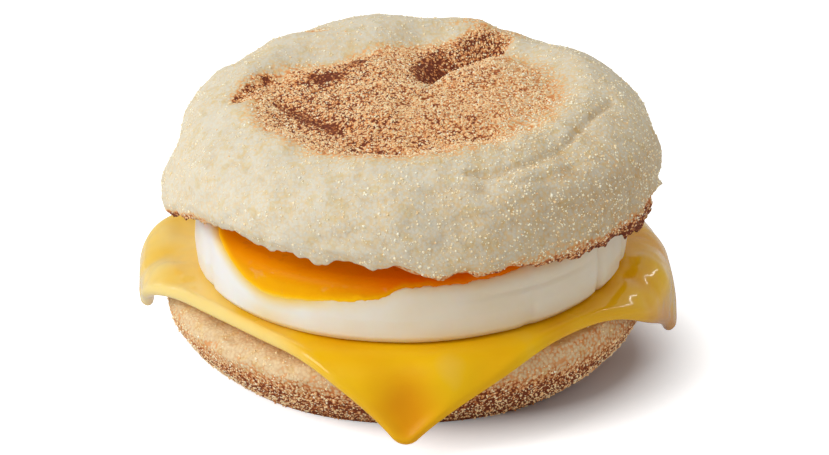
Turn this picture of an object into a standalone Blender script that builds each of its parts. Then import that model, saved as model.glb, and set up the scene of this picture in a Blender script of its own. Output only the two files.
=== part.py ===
"""Filled breakfast muffin: a split English muffin round a melted cheese slice and a griddled egg.

Five pieces lie on each other, each a closed solid: the heel, the cheese slice, the egg white, the
yolk in its pocket, and the crown. Metres, +Z up, front towards -Y, with the origin on the table
under the middle of the heel.
"""

import math
import random
from typing import NamedTuple

import bmesh
import bpy
import numpy as np


class Waves(NamedTuple):
    """The waves that make an uneven closed line, and the seed of their draw."""

    lowest: int
    highest: int
    seed: int


class Lumps(NamedTuple):
    """Soft lumps of a surface: how high, how long, and the seed of their draw."""

    height: float
    length: float
    seed: int


class Swell(NamedTuple):
    """A round swell of the skin seen from above, or a hollow where its rise is below 0."""

    x: float
    y: float
    rise: float
    spread: float


class Dent(NamedTuple):
    """A groove along a line seen from above."""

    line: tuple
    depth: float
    width: float


class Crease(NamedTuple):
    """A groove round the side: its middle angle, height, depth and spread in radians."""

    middle: float
    height: float
    depth: float
    spread: float


class Hollow(NamedTuple):
    """A broad hollow in the side: its middle angle, height, depth, half rise and spread in radians."""

    middle: float
    height: float
    depth: float
    rise: float
    spread: float


class Pull(NamedTuple):
    """How far out, how steeply and how much longer the slice hangs towards one side of the stack."""

    middle: float
    spread: float
    out: float
    steeper: float
    longer: float


class WallRing(NamedTuple):
    """A ring of the egg's wall: its height over the seat, and how far it stands out."""

    height: float
    out: float


MM = 0.001
DEGREE = math.radians(1)
FULL_TURN = 2 * math.pi
QUARTER_TURN = math.pi / 2
FRONT = -QUARTER_TURN
REST_GAP = 0.3 * MM
LUMP_WAVES = 14
WAVE_FALL = 0.5
SHARP_EDGE = 60 * DEGREE

# How the layers lean, and where the filling and the crown sit on the heel
RISE_TO_BACK = 0.040
RISE_TO_RIGHT = 0.029
STACK_MIDDLE = (1.6 * MM, -1.6 * MM)

# Heel, the lower half
HEEL_RADIUS = 47.2 * MM
HEEL_BASE_RADIUS = 37.0 * MM
HEEL_BELLY_HEIGHT = 12.0 * MM
HEEL_FLARE = 1.7
HEEL_FLARE_EASE = 0.85
HEEL_OUT_OF_ROUND = 0.008
HEEL_ROUND_WAVES = Waves(2, 5, 3)
HEEL_WALL_LUMPS = Lumps(0.5 * MM, 9 * MM, 11)
HEEL_COLUMNS = 80
HEEL_WALL_ROWS = 8
HEEL_CUT_RADIUS = 46.0 * MM
HEEL_CUT_HEIGHT = 17.8 * MM
HEEL_CUT_FALL = 0.8 * MM
HEEL_CUT_FALL_RADII = (36 * MM, 46 * MM)
HEEL_CUT_SHARES = (0.94, 0.7, 0.35)
HEEL_CUT_LUMPS = Lumps(0.3 * MM, 7 * MM, 9)
HEEL_RIM_DROP = 0.7 * MM
HEEL_RIM_HEIGHT_RAGGED = 0.3 * MM
HEEL_RIM_HEIGHT_WAVES = Waves(7, 34, 7)
HEEL_RIM_RADIUS_RAGGED = 0.4 * MM
HEEL_RIM_RADIUS_WAVES = Waves(6, 30, 5)
HEEL_SHOULDER_SHARE = 0.6
HEEL_SHOULDER_OUT = 0.4 * MM
HEEL_COLOUR = (0.62, 0.36, 0.16)
BREAD_ROUGHNESS = 0.85

# Cheese slice, square when flat, with a corner to the front
CHEESE_SIDE = 92.0 * MM
CHEESE_THICKNESS = 2.6 * MM
CHEESE_CORNER_RADIUS = 4.0 * MM
CHEESE_EDGE_RADIUS = 44.6 * MM
CHEESE_BEND_RADIUS = 5.5 * MM
CHEESE_MIDDLE = (1.2 * MM, 1.4 * MM)
CHEESE_TURN = 42.3 * DEGREE
CHEESE_STEEPNESS = 62 * DEGREE
CHEESE_PULLS = (
    Pull(180 * DEGREE, 0.5, 1.9 * MM, 28 * DEGREE, 0),
    Pull(160 * DEGREE, 0.32, 3.2 * MM, 0, 0),
    Pull(-4.6 * DEGREE, 0.5, 0.5 * MM, 26 * DEGREE, -0.08),
    Pull(-26 * DEGREE, 0.3, -1.2 * MM, 0, 0.5),
    Pull(FRONT, 0.6, -0.6 * MM, 9 * DEGREE, -0.03),
    Pull(-63 * DEGREE, 0.25, 0, 0, 0.36),
)
CHEESE_LIFT = 4.4 * MM
CHEESE_LIFT_MIDDLE = 150 * DEGREE
CHEESE_LIFT_SPREAD = 0.38
CHEESE_LIFT_PAST = (-4 * MM, 7 * MM)
CHEESE_SWAY = 0.8 * MM
CHEESE_SWAY_WAVES = 9
CHEESE_SWAY_PHASE = 1.0
CHEESE_SWAY_PAST = (4 * MM, 18 * MM)
CHEESE_EDGE_ROUNDING = 0.35
CHEESE_CELLS = 26
CHEESE_COLOUR = (0.86, 0.47, 0.03)
CHEESE_ROUGHNESS = 0.3
SLOPE_STEP = 0.2 * MM

# Egg white, set in a ring
EGG_RADIUS = 42.6 * MM
EGG_THICKNESS = 12.6 * MM
EGG_SHOULDER = 3.0 * MM
EGG_SHOULDER_ROWS = 4
EGG_OUT_OF_ROUND = 0.006
EGG_ROUND_WAVES = Waves(2, 6, 21)
EGG_FACE_SHARES = (0.4, 0.75)
EGG_WALL = (
    WallRing(5 * MM, 0.2 * MM),
    WallRing(1.2 * MM, -0.2 * MM),
)
EGG_FOOT_INSET = 1.2 * MM
EGG_FOOT_SHARE = 0.5
EGG_CREASE_SPREAD = 0.035
EGG_CREASES = (
    Crease(-0.56, 0, 0.9 * MM, EGG_CREASE_SPREAD),
    Crease(-0.27, 0, 0.7 * MM, EGG_CREASE_SPREAD),
    Crease(-2.75, 0, 0.5 * MM, EGG_CREASE_SPREAD),
)
EGG_COLUMNS = 72
WHITE_COLOUR = (0.93, 0.88, 0.76)
WHITE_ROUGHNESS = 0.35

# Yolk, a flat pool that reaches the front of the egg
YOLK_MIDDLE = (-6.0 * MM, -17.0 * MM)
YOLK_LEFT_HALF = 33.0 * MM
YOLK_RIGHT_HALF = 38.0 * MM
YOLK_HALF_LENGTH = 29.0 * MM
YOLK_DEPTH = 11.0 * MM
YOLK_SHALLOW = 4.5 * MM
YOLK_SHALLOW_FROM = (-6.0 * MM, -1.5 * MM)
YOLK_SAG = 4.0 * MM
YOLK_SAG_MIDDLE = -29 * MM
YOLK_SAG_SPREAD = 9 * MM
YOLK_OVER_TOP = 1.5 * MM
YOLK_WANDER = 0.025
YOLK_WAVES = Waves(2, 9, 31)
YOLK_PROUD = 0.3 * MM
YOLK_COLUMNS = 56
YOLK_ROWS = 16
YOLK_COLOUR = (0.85, 0.30, 0.01)
YOLK_ROUGHNESS = 0.2

# Crown, the upper half: the lower edge
CROWN_CUT_HEIGHT = 35.0 * MM
CROWN_RIM_DROOP = 5.0 * MM
CROWN_RIM_DROOP_LEFT_POWER = 20
CROWN_RIM_DROOP_RIGHT_POWER = 9
CROWN_RIM_HEAVE = 1.9 * MM
CROWN_RIM_HEAVE_LEFT = (-2.85, -2.6)
CROWN_RIM_HEAVE_RIGHT = (-1.54, -1.68)
CROWN_RIM_BACK_DROP = 1.6 * MM
CROWN_RIM_BACK_SPREAD = 0.9
CROWN_RIM_TILT = 0.4 * MM
CROWN_RIM_RAGGED = 0.7 * MM
CROWN_RIM_WAVES = Waves(6, 44, 45)

# Crown, the domed skin
CROWN_RADIUS = 48.8 * MM
CROWN_OUT_OF_ROUND = 0.006
CROWN_ROUND_WAVES = Waves(2, 5, 43)
CROWN_CREST_HEIGHT = 59.5 * MM
CROWN_RISE_TO_RIGHT = 0.066
CROWN_RISE_TO_BACK = 0.045
CROWN_BELLY_RISE = 3.4 * MM
CROWN_RIGHT_BELLY_RISE = 3.6 * MM
CROWN_BULGE = 0.86
CROWN_SQUARENESS = 0.62
CROWN_LEFT_SQUARENESS = 0.09
CROWN_LEFT_SPREAD = 0.9
CROWN_TUCK = 2.0 * MM
CROWN_RIGHT_TUCK = 1.2 * MM
CROWN_RIGHT_SPREAD = 0.5
CROWN_TUCK_POWER = 1.8
CROWN_TUCK_SHARES = (0.4, 0.75, 1)
CROWN_LUMPS = (Lumps(0.55 * MM, 15 * MM, 47), Lumps(0.25 * MM, 7 * MM, 48))
CROWN_RIM_RELIEF = 0.4
CROWN_COLUMNS = 96
CROWN_SKIN_ROWS = 31
PROFILE_STEPS = 400
CROWN_COLOUR = (0.84, 0.72, 0.50)

# Crown, the cut face
CROWN_CUT_GAP = 0.5 * MM
CROWN_CUT_SHARES = (0.93, 0.87, 0.7, 0.5)
CROWN_CUT_BELOW_RIM = 1.5 * MM
CROWN_CUT_RAISED_SHARES = (0.5, 0.87)
CROWN_CUT_LEVEL_SHARE = 0.875
CROWN_CUT_RIM_SHARE = 0.955
CROWN_CUT_RIM_LIFT = 0.6 * MM
CROWN_CUT_LUMPS = Lumps(0.15 * MM, 7 * MM, 49)

# Crown, the browned dish in its top, and the fold that bounds it at the back
DISH_RADIUS = 31.0 * MM
DISH_DEPTH = 3.0 * MM
DISH_RAGGED = 1.2 * MM
DISH_WAVES = Waves(2, 7, 41)
DISH_BACK_INSET = 9.0 * MM
DISH_BACK_MIDDLE = 108 * DEGREE
DISH_BACK_SPREAD = 0.6
DISH_WALL = (-4 * MM, 4.5 * MM)
FOLD_LINE = (
    (-1.0 * MM, -3.0 * MM),
    (2.5 * MM, 3.0 * MM),
    (5.0 * MM, 8.5 * MM),
    (7.5 * MM, 13.0 * MM),
    (12.5 * MM, 16.5 * MM),
    (17.0 * MM, 21.0 * MM),
    (20.5 * MM, 27.5 * MM),
)
FOLD_DEPTH = 4.0 * MM
FOLD_START = (0, 0.4)
FOLD_END = (1.0, 0.78)
FOLD_WALL_WIDTH = 2.8 * MM
FOLD_WALL_WIDENING = 1.6 * MM
FOLD_PLATE_WIDTH = 1.6 * MM
FOLD_PLATE_DIP = 0.8 * MM
FOLD_PLATE_DIP_WIDTH = 6 * MM

# Hollows of the side: a broad one at the left, and the notch above the torn edge at the right
CROWN_HOLLOWS = (
    Hollow(180 * DEGREE, 42 * MM, 1.6 * MM, 5 * MM, 0.6),
    Hollow(-0.2, 36 * MM, 2.4 * MM, 1.8 * MM, 0.24),
)

# Swells and hollows of the crown's skin
CROWN_SWELLS = (
    Swell(10 * MM, 31.5 * MM, 0.7 * MM, 7 * MM),
    Swell(11 * MM, 23 * MM, 1.2 * MM, 5 * MM),
    Swell(-27 * MM, 24 * MM, 2.1 * MM, 9 * MM),
    Swell(-9 * MM, 38 * MM, 2.6 * MM, 16 * MM),
    Swell(33 * MM, 27 * MM, -1.2 * MM, 12 * MM),
    Swell(-38 * MM, 8 * MM, 1.8 * MM, 11 * MM),
    Swell(-21 * MM, 9 * MM, 0.7 * MM, 4.5 * MM),
)

# Dents in the dish's edge, and the two creases outside it at the front right
CROWN_DENTS = (
    Dent(((-33.8 * MM, -0.5 * MM), (-31.6 * MM, 4 * MM), (-27 * MM, 10.5 * MM)), 1.1 * MM, 1.8 * MM),
    Dent(((-26 * MM, -1.5 * MM), (-20.5 * MM, -9.7 * MM), (-13 * MM, -18 * MM)), 0.8 * MM, 2.2 * MM),
    Dent(((-10 * MM, -27 * MM), (-1.5 * MM, -31.5 * MM)), 0.8 * MM, 2.2 * MM),
    Dent(((13 * MM, -38.5 * MM), (22 * MM, -34 * MM), (27.5 * MM, -29 * MM)), 0.7 * MM, 2.2 * MM),
    Dent(((31.5 * MM, -21 * MM), (35 * MM, -14.5 * MM), (38.5 * MM, -7 * MM)), 0.6 * MM, 2.2 * MM),
)

# Creases round the side at the front right
CROWN_CREASES = (Crease(-0.72, 45.5 * MM, 0.7 * MM, 0.35),)
CREASE_CLIMB = 4 * MM
CREASE_WIDTH = 1.3 * MM


def smooth(low, high, value):
    """0 below low, 1 above high, and an S curve between them."""
    share = np.clip((value - low) / (high - low), 0, 1)
    return share * share * (3 - 2 * share)


def bell(distance, width):
    """A bump of height 1 that has fallen to a third at this width."""
    return np.exp(-((distance / width) ** 2))


def turned(angle, middle):
    """How far an angle lies from the middle, between minus and plus half a turn."""
    return (angle - middle + math.pi) % FULL_TURN - math.pi


def ragged(angle, waves):
    """A closed uneven line round the circle, about -1 to 1."""
    draw = random.Random(waves.seed)
    line = np.zeros_like(angle)
    power = 0.0
    for wave in range(waves.lowest, waves.highest + 1):
        size = (waves.lowest / wave) ** WAVE_FALL
        line = line + size * np.cos(wave * angle + draw.uniform(0, FULL_TURN))
        power += size * size / 2
    return line / (2 * math.sqrt(power))


def lumpy(points, lumps):
    """How far soft lumps raise each of these points."""
    draw = random.Random(lumps.seed)
    total = np.zeros(points.shape[:-1])
    for _ in range(LUMP_WAVES):
        way = np.array([draw.gauss(0, 1) for _ in range(3)])
        way *= FULL_TURN / (lumps.length * draw.uniform(0.7, 1.5) * np.linalg.norm(way))
        total += np.cos(points @ way + draw.uniform(0, FULL_TURN))
    return lumps.height * total / math.sqrt(LUMP_WAVES * 2)


def columns(count):
    """Angles of the columns of a turned piece, starting at the front."""
    return FRONT + np.arange(count) * FULL_TURN / count


def polar(radius, angle, height):
    """Points at these radii, angles and heights, with x, y, z on the last axis."""
    radius, angle, height = np.broadcast_arrays(radius, angle, height)
    return np.stack([radius * np.cos(angle), radius * np.sin(angle), height], axis=-1)


def outward(rings):
    """Unit normals of a stack of closed rings that runs from the top outwards and down."""
    along = np.roll(rings, -1, axis=1) - np.roll(rings, 1, axis=1)
    down = np.gradient(rings, axis=0)
    normal = np.cross(down, along)
    return normal / np.linalg.norm(normal, axis=-1, keepdims=True)


def even_rows(profile, count):
    """Rows evenly spaced along each column of a fine profile, from its first point to its last."""
    rows = np.empty((count + 1, *profile.shape[1:]))
    for column in range(profile.shape[1]):
        line = profile[:, column]
        run = np.concatenate([[0], np.cumsum(np.linalg.norm(np.diff(line, axis=0), axis=1))])
        places = np.linspace(0, run[-1], count + 1)
        for axis in range(3):
            rows[:, column, axis] = np.interp(places, run, line[:, axis])
    return rows


def lean(x, y):
    """How far the layers are raised at this place by their lean."""
    return RISE_TO_BACK * y + RISE_TO_RIGHT * x


def stroke(x, y, points):
    """Where a place lies along a drawn line: distance, side (above 0 is left) and share along it."""
    nearest = np.full(np.shape(x), 1.0)
    side = np.zeros(np.shape(x))
    along = np.zeros(np.shape(x))
    for i, (start, end) in enumerate(zip(points, points[1:])):
        run = np.subtract(end, start)
        length = np.hypot(*run)
        across = x - start[0], y - start[1]
        share = np.clip((across[0] * run[0] + across[1] * run[1]) / length**2, 0, 1)
        distance = np.hypot(across[0] - share * run[0], across[1] - share * run[1])
        closer = distance < nearest
        nearest = np.where(closer, distance, nearest)
        side = np.where(closer, run[0] * across[1] - run[1] * across[0], side)
        along = np.where(closer, (i + share) / (len(points) - 1), along)
    return nearest, side, along


def finish_object(name, mesh, colour, roughness):
    """An object for one piece, with a plain material of its own."""
    material = bpy.data.materials.new(name)
    material.use_nodes = True
    shader = material.node_tree.nodes["Principled BSDF"]
    shader.inputs["Base Color"].default_value = (*colour, 1)
    shader.inputs["Roughness"].default_value = roughness
    mesh.materials.append(material)
    mesh.shade_smooth()
    mesh.set_sharp_from_angle(angle=SHARP_EDGE)
    thing = bpy.data.objects.new(name, mesh)
    bpy.context.scene.collection.objects.link(thing)
    return thing


def turned_mesh(name, top_middle, rings, bottom_middle):
    """A closed mesh from the middle of the top, out and down through the rings, to the middle below."""
    shape = bmesh.new()
    top = shape.verts.new(top_middle)
    loops = [[shape.verts.new(point) for point in ring] for ring in rings]
    bottom = shape.verts.new(bottom_middle)
    count = len(loops[0])
    for i in range(count):
        j = (i + 1) % count
        shape.faces.new((top, loops[0][i], loops[0][j]))
        for upper, lower in zip(loops, loops[1:]):
            shape.faces.new((upper[i], lower[i], lower[j], upper[j]))
        shape.faces.new((bottom, loops[-1][j], loops[-1][i]))
    bmesh.ops.triangulate(shape, faces=shape.faces[:])
    mesh = bpy.data.meshes.new(name)
    shape.to_mesh(mesh)
    shape.free()
    return mesh


def apply_boolean(thing, tool, operation):
    """Applies a Boolean of the tool to the object, and removes the tool."""
    modifier = thing.modifiers.new(tool.name, "BOOLEAN")
    modifier.operation = operation
    modifier.object = tool
    modifier.solver = "EXACT"
    graph = bpy.context.evaluated_depsgraph_get()
    result = bpy.data.meshes.new_from_object(thing.evaluated_get(graph))
    thing.modifiers.clear()
    thing.data = result
    bpy.data.objects.remove(tool, do_unlink=True)


def heel_cut(x, y):
    """Height of the heel's cut face, which falls off towards its edge."""
    fall = HEEL_CUT_FALL * smooth(*HEEL_CUT_FALL_RADII, np.hypot(x, y))
    return HEEL_CUT_HEIGHT + lean(x, y) - fall


def heel_wall(angle, out_of_round):
    """Rings of the heel's rounded wall, from the flat base up to its belly."""
    wall = []
    for row in range(HEEL_WALL_ROWS + 1):
        share = row / HEEL_WALL_ROWS
        swell = (1 - (1 - share) ** HEEL_FLARE) ** HEEL_FLARE_EASE
        radius = HEEL_BASE_RADIUS + (HEEL_RADIUS - HEEL_BASE_RADIUS) * swell
        ring = polar(radius * out_of_round, angle, HEEL_BELLY_HEIGHT * share)
        wall.append(ring + polar(share * lumpy(ring, HEEL_WALL_LUMPS), angle, 0))
    return wall


def heel():
    """The lower half: a flat base, a rounded wall and the uneven crumb of the cut."""
    angle = columns(HEEL_COLUMNS)
    out_of_round = 1 + HEEL_OUT_OF_ROUND * ragged(angle, HEEL_ROUND_WAVES)
    wall = heel_wall(angle, out_of_round)
    edge = HEEL_CUT_RADIUS * out_of_round
    edge = edge + HEEL_RIM_RADIUS_RAGGED * ragged(angle, HEEL_RIM_RADIUS_WAVES)
    rim = polar(edge, angle, 0)
    rim[:, 2] = heel_cut(rim[:, 0], rim[:, 1]) - HEEL_RIM_DROP
    rim[:, 2] += HEEL_RIM_HEIGHT_RAGGED * ragged(angle, HEEL_RIM_HEIGHT_WAVES)
    shoulder = wall[-1] + (rim - wall[-1]) * HEEL_SHOULDER_SHARE
    wall.append(shoulder + polar(HEEL_SHOULDER_OUT, angle, 0))
    cut = []
    for share in HEEL_CUT_SHARES:
        ring = polar(edge * share, angle, 0)
        crumb = HEEL_CUT_LUMPS.height + lumpy(ring, HEEL_CUT_LUMPS)
        ring[:, 2] = heel_cut(ring[:, 0], ring[:, 1]) - crumb
        cut.append(ring)
    rings = [*reversed(cut), rim, *reversed(wall)]
    top = (0, 0, HEEL_CUT_HEIGHT - HEEL_CUT_LUMPS.height)
    mesh = turned_mesh("muffin_heel", top, rings, (0, 0, 0))
    return finish_object("muffin_heel", mesh, HEEL_COLOUR, BREAD_ROUGHNESS)


def slice_corners(across, along):
    """Moves a square's points in at its four corners, so that they come out round."""
    straight = CHEESE_SIDE / 2 - CHEESE_CORNER_RADIUS
    over = np.clip(np.abs(across) - straight, 0, None), np.clip(np.abs(along) - straight, 0, None)
    reach = np.hypot(*over)
    shrink = np.where(reach > 0, np.maximum(*over) / np.where(reach > 0, reach, 1), 1)
    return (
        np.sign(across) * (np.minimum(np.abs(across), straight) + over[0] * shrink),
        np.sign(along) * (np.minimum(np.abs(along), straight) + over[1] * shrink),
    )


def draped(across, along):
    """Where points of the flat slice come to lie: flat on the heel, and bent down past its edge."""
    x = across * math.cos(CHEESE_TURN) - along * math.sin(CHEESE_TURN) + CHEESE_MIDDLE[0]
    y = across * math.sin(CHEESE_TURN) + along * math.cos(CHEESE_TURN) + CHEESE_MIDDLE[1]
    angle = np.arctan2(y, x)
    reach = np.hypot(x, y)
    edge = CHEESE_EDGE_RADIUS
    steepest = CHEESE_STEEPNESS
    stretch = 1
    for pull in CHEESE_PULLS:
        near = bell(turned(angle, pull.middle), pull.spread)
        edge = edge + pull.out * near
        steepest = steepest + pull.steeper * near
        stretch = stretch + pull.longer * near
    past = np.clip(reach - edge, 0, None) * stretch
    bend = np.minimum(past / CHEESE_BEND_RADIUS, steepest)
    hang = past - bend * CHEESE_BEND_RADIUS
    radius = np.minimum(reach, edge) + CHEESE_BEND_RADIUS * np.sin(bend) + hang * np.cos(bend)
    drop = CHEESE_BEND_RADIUS * (1 - np.cos(bend)) + hang * np.sin(bend)
    lift = CHEESE_LIFT * bell(turned(angle, CHEESE_LIFT_MIDDLE), CHEESE_LIFT_SPREAD)
    lift = lift * smooth(*CHEESE_LIFT_PAST, reach - edge)
    wave = np.sin(CHEESE_SWAY_WAVES * angle + CHEESE_SWAY_PHASE)
    radius = radius + CHEESE_SWAY * wave * smooth(*CHEESE_SWAY_PAST, past)
    x = radius * np.cos(angle)
    y = radius * np.sin(angle)
    seat = HEEL_CUT_HEIGHT + 2 * REST_GAP + CHEESE_THICKNESS / 2 + lean(x, y)
    return np.stack([x + STACK_MIDDLE[0], y + STACK_MIDDLE[1], seat - drop + lift], axis=-1)


def cheese():
    """One processed slice, melted over the edge of the heel."""
    half = CHEESE_SIDE / 2
    place = np.linspace(-half, half, CHEESE_CELLS + 1)
    across, along = np.meshgrid(place, place, indexing="ij")
    middle = draped(*slice_corners(across, along))
    inset = 1 - CHEESE_EDGE_ROUNDING * CHEESE_THICKNESS / half
    flat = slice_corners(across * inset, along * inset)
    inner = draped(*flat)
    one_way = draped(flat[0] + SLOPE_STEP, flat[1]) - inner
    other_way = draped(flat[0], flat[1] + SLOPE_STEP) - inner
    normal = np.cross(one_way, other_way)
    normal /= np.linalg.norm(normal, axis=-1, keepdims=True)
    upper = inner + normal * CHEESE_THICKNESS / 2
    lower = inner - normal * CHEESE_THICKNESS / 2
    last = CHEESE_CELLS
    border = [(i, 0) for i in range(last)] + [(last, i) for i in range(last)]
    border += [(last - i, last) for i in range(last)] + [(0, last - i) for i in range(last)]
    shape = bmesh.new()
    tops = [[shape.verts.new(point) for point in row] for row in upper]
    lows = [[shape.verts.new(point) for point in row] for row in lower]
    sides = [shape.verts.new(middle[place]) for place in border]
    for i in range(last):
        for j in range(last):
            shape.faces.new((tops[i][j], tops[i + 1][j], tops[i + 1][j + 1], tops[i][j + 1]))
            shape.faces.new((lows[i][j], lows[i][j + 1], lows[i + 1][j + 1], lows[i + 1][j]))
    for k, (i, j) in enumerate(border):
        m, n = border[(k + 1) % len(border)]
        here, there = sides[k], sides[(k + 1) % len(border)]
        shape.faces.new((tops[m][n], tops[i][j], here, there))
        shape.faces.new((there, here, lows[i][j], lows[m][n]))
    bmesh.ops.triangulate(shape, faces=shape.faces[:])
    mesh = bpy.data.meshes.new("cheese_slice")
    shape.to_mesh(mesh)
    shape.free()
    return finish_object("cheese_slice", mesh, CHEESE_COLOUR, CHEESE_ROUGHNESS)


def egg_seat():
    """Height of the egg's lower face at the middle of the stack."""
    return HEEL_CUT_HEIGHT + 3 * REST_GAP + CHEESE_THICKNESS


def puck(name, grow):
    """The egg's outside, grown by this much: a low drum with rounded shoulders."""
    angle = columns(EGG_COLUMNS)
    seat = egg_seat()
    radius = EGG_RADIUS * (1 + EGG_OUT_OF_ROUND * ragged(angle, EGG_ROUND_WAVES)) + grow
    for crease in EGG_CREASES:
        radius = radius - crease.depth * bell(turned(angle, crease.middle), crease.spread)
    top = seat + EGG_THICKNESS + grow
    low = seat - grow
    rings = [polar(radius * share, angle, top) for share in EGG_FACE_SHARES]
    for row in range(EGG_SHOULDER_ROWS + 1):
        turn = QUARTER_TURN * row / EGG_SHOULDER_ROWS
        inset = EGG_SHOULDER * (1 - math.sin(turn))
        rings.append(polar(radius - inset, angle, top - EGG_SHOULDER * (1 - math.cos(turn))))
    for ring in EGG_WALL:
        rings.append(polar(radius + ring.out, angle, seat + ring.height))
    rings.append(polar(radius - EGG_FOOT_INSET, angle, low))
    rings.append(polar(radius * EGG_FOOT_SHARE, angle, low))
    for ring in rings:
        ring[:, 2] += lean(ring[:, 0], ring[:, 1])
        ring += (*STACK_MIDDLE, 0)
    mesh = turned_mesh(name, (*STACK_MIDDLE, top), rings, (*STACK_MIDDLE, low))
    return finish_object(name, mesh, WHITE_COLOUR, WHITE_ROUGHNESS)


def pool(name, grow):
    """The yolk's pool as a flat egg-shaped body, grown by this much all round."""
    shape = bmesh.new()
    bmesh.ops.create_uvsphere(shape, u_segments=YOLK_COLUMNS, v_segments=YOLK_ROWS, radius=1)
    top = egg_seat() + EGG_THICKNESS
    for point in shape.verts:
        angle = np.array(math.atan2(point.co.y, point.co.x))
        wander = 1 + YOLK_WANDER * float(ragged(angle, YOLK_WAVES))
        half_width = YOLK_RIGHT_HALF if point.co.x > 0 else YOLK_LEFT_HALF
        x = YOLK_MIDDLE[0] + point.co.x * (half_width * wander + grow)
        y = YOLK_MIDDLE[1] + point.co.y * (YOLK_HALF_LENGTH * wander + grow)
        depth = YOLK_DEPTH + YOLK_SAG * float(bell(x - YOLK_SAG_MIDDLE, YOLK_SAG_SPREAD))
        depth -= YOLK_SHALLOW * float(smooth(*YOLK_SHALLOW_FROM, x))
        z = top + YOLK_OVER_TOP + lean(x, y) + point.co.z * (depth + grow)
        point.co = (x + STACK_MIDDLE[0], y + STACK_MIDDLE[1], z)
    mesh = bpy.data.meshes.new(name)
    shape.to_mesh(mesh)
    shape.free()
    return finish_object(name, mesh, YOLK_COLOUR, YOLK_ROUGHNESS)


def egg():
    """The white with the yolk's pocket cut from it, and the yolk, flush with its outside."""
    yolk = pool("egg_yolk", 0)
    apply_boolean(yolk, puck("yolk_limit", YOLK_PROUD), "INTERSECT")
    white = puck("egg_white", 0)
    apply_boolean(white, pool("pocket_cutter", REST_GAP), "DIFFERENCE")
    return white, yolk


def crown_rim(angle):
    """Height of the crown's lower edge: raised at the front left, lower at the back and the sides."""
    aside = np.cos(angle)
    power = np.where(aside < 0, CROWN_RIM_DROOP_LEFT_POWER, CROWN_RIM_DROOP_RIGHT_POWER)
    droop = CROWN_RIM_DROOP * np.abs(aside) ** power
    closed_back = CROWN_RIM_BACK_DROP * bell(turned(angle, -FRONT), CROWN_RIM_BACK_SPREAD)
    place = turned(angle, 0)
    heaved = smooth(*CROWN_RIM_HEAVE_LEFT, place) * smooth(*CROWN_RIM_HEAVE_RIGHT, place)
    level = CROWN_CUT_HEIGHT + CROWN_RIM_HEAVE * heaved
    return level - droop - closed_back - CROWN_RIM_TILT * aside


def dish_relief(x, y):
    """How far the browned dish lies below the dome, with the fold behind its plate."""
    reach = np.hypot(x, y)
    angle = np.arctan2(y, x)
    edge = DISH_RADIUS + DISH_RAGGED * ragged(angle, DISH_WAVES)
    edge = edge - DISH_BACK_INSET * bell(turned(angle, DISH_BACK_MIDDLE), DISH_BACK_SPREAD)
    relief = -DISH_DEPTH * (1 - smooth(edge + DISH_WALL[0], edge + DISH_WALL[1], reach))
    distance, side, along = stroke(x, y, FOLD_LINE)
    ends = smooth(*FOLD_START, along) * smooth(*FOLD_END, along)
    wall = FOLD_WALL_WIDTH + FOLD_WALL_WIDENING * along
    width = np.where(side > 0, wall, FOLD_PLATE_WIDTH)
    relief = relief - FOLD_DEPTH * bell(distance, width) * ends
    dip = FOLD_PLATE_DIP * bell(distance, FOLD_PLATE_DIP_WIDTH) * ends
    return relief - np.where(side > 0, 0, dip)


def crown_relief(x, y, height):
    """How far the crown's skin stands out: dish, fold, swells, hollows, dents and creases."""
    angle = np.arctan2(y, x)
    relief = dish_relief(x, y)
    for swell in CROWN_SWELLS:
        relief = relief + swell.rise * bell(np.hypot(x - swell.x, y - swell.y), swell.spread)
    for hollow in CROWN_HOLLOWS:
        near = bell(turned(angle, hollow.middle), hollow.spread)
        relief = relief - hollow.depth * near * bell(height - hollow.height, hollow.rise)
    for dent in CROWN_DENTS:
        distance, _, _ = stroke(x, y, dent.line)
        relief = relief - dent.depth * bell(distance, dent.width)
    for crease in CROWN_CREASES:
        away = turned(angle, crease.middle)
        line = crease.height + CREASE_CLIMB * away
        relief = relief - crease.depth * bell(height - line, CREASE_WIDTH) * bell(away, crease.spread)
    return relief


def crown_skin(angle, round_radius, rim_height):
    """Rings of the domed skin, from next to the crest down to the torn rim."""
    to_right = bell(turned(angle, 0), CROWN_RIGHT_SPREAD)
    belly = crown_rim(angle) + CROWN_BELLY_RISE + CROWN_RIGHT_BELLY_RISE * to_right
    squareness = CROWN_SQUARENESS + CROWN_LEFT_SQUARENESS * bell(turned(angle, math.pi), CROWN_LEFT_SPREAD)
    profile = []
    for turn in np.linspace(0, QUARTER_TURN, PROFILE_STEPS):
        ring = polar(round_radius * math.sin(turn) ** CROWN_BULGE, angle, 0)
        crest = CROWN_CREST_HEIGHT + CROWN_RISE_TO_RIGHT * ring[:, 0] + CROWN_RISE_TO_BACK * ring[:, 1]
        ring[:, 2] = belly + (crest - belly) * math.cos(turn) ** squareness
        profile.append(ring)
    skin = list(even_rows(np.array(profile), CROWN_SKIN_ROWS)[1:])
    tuck = CROWN_TUCK + CROWN_RIGHT_TUCK * to_right
    for share in CROWN_TUCK_SHARES:
        height = belly + (rim_height - belly) * share
        skin.append(polar(round_radius - tuck * share**CROWN_TUCK_POWER, angle, height))
    skin = np.array(skin)
    relief = crown_relief(skin[..., 0], skin[..., 1], skin[..., 2])
    relief = relief + sum(lumpy(skin, lumps) for lumps in CROWN_LUMPS)
    relief[-1] *= CROWN_RIM_RELIEF
    return skin + outward(skin) * relief[..., None]


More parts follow.
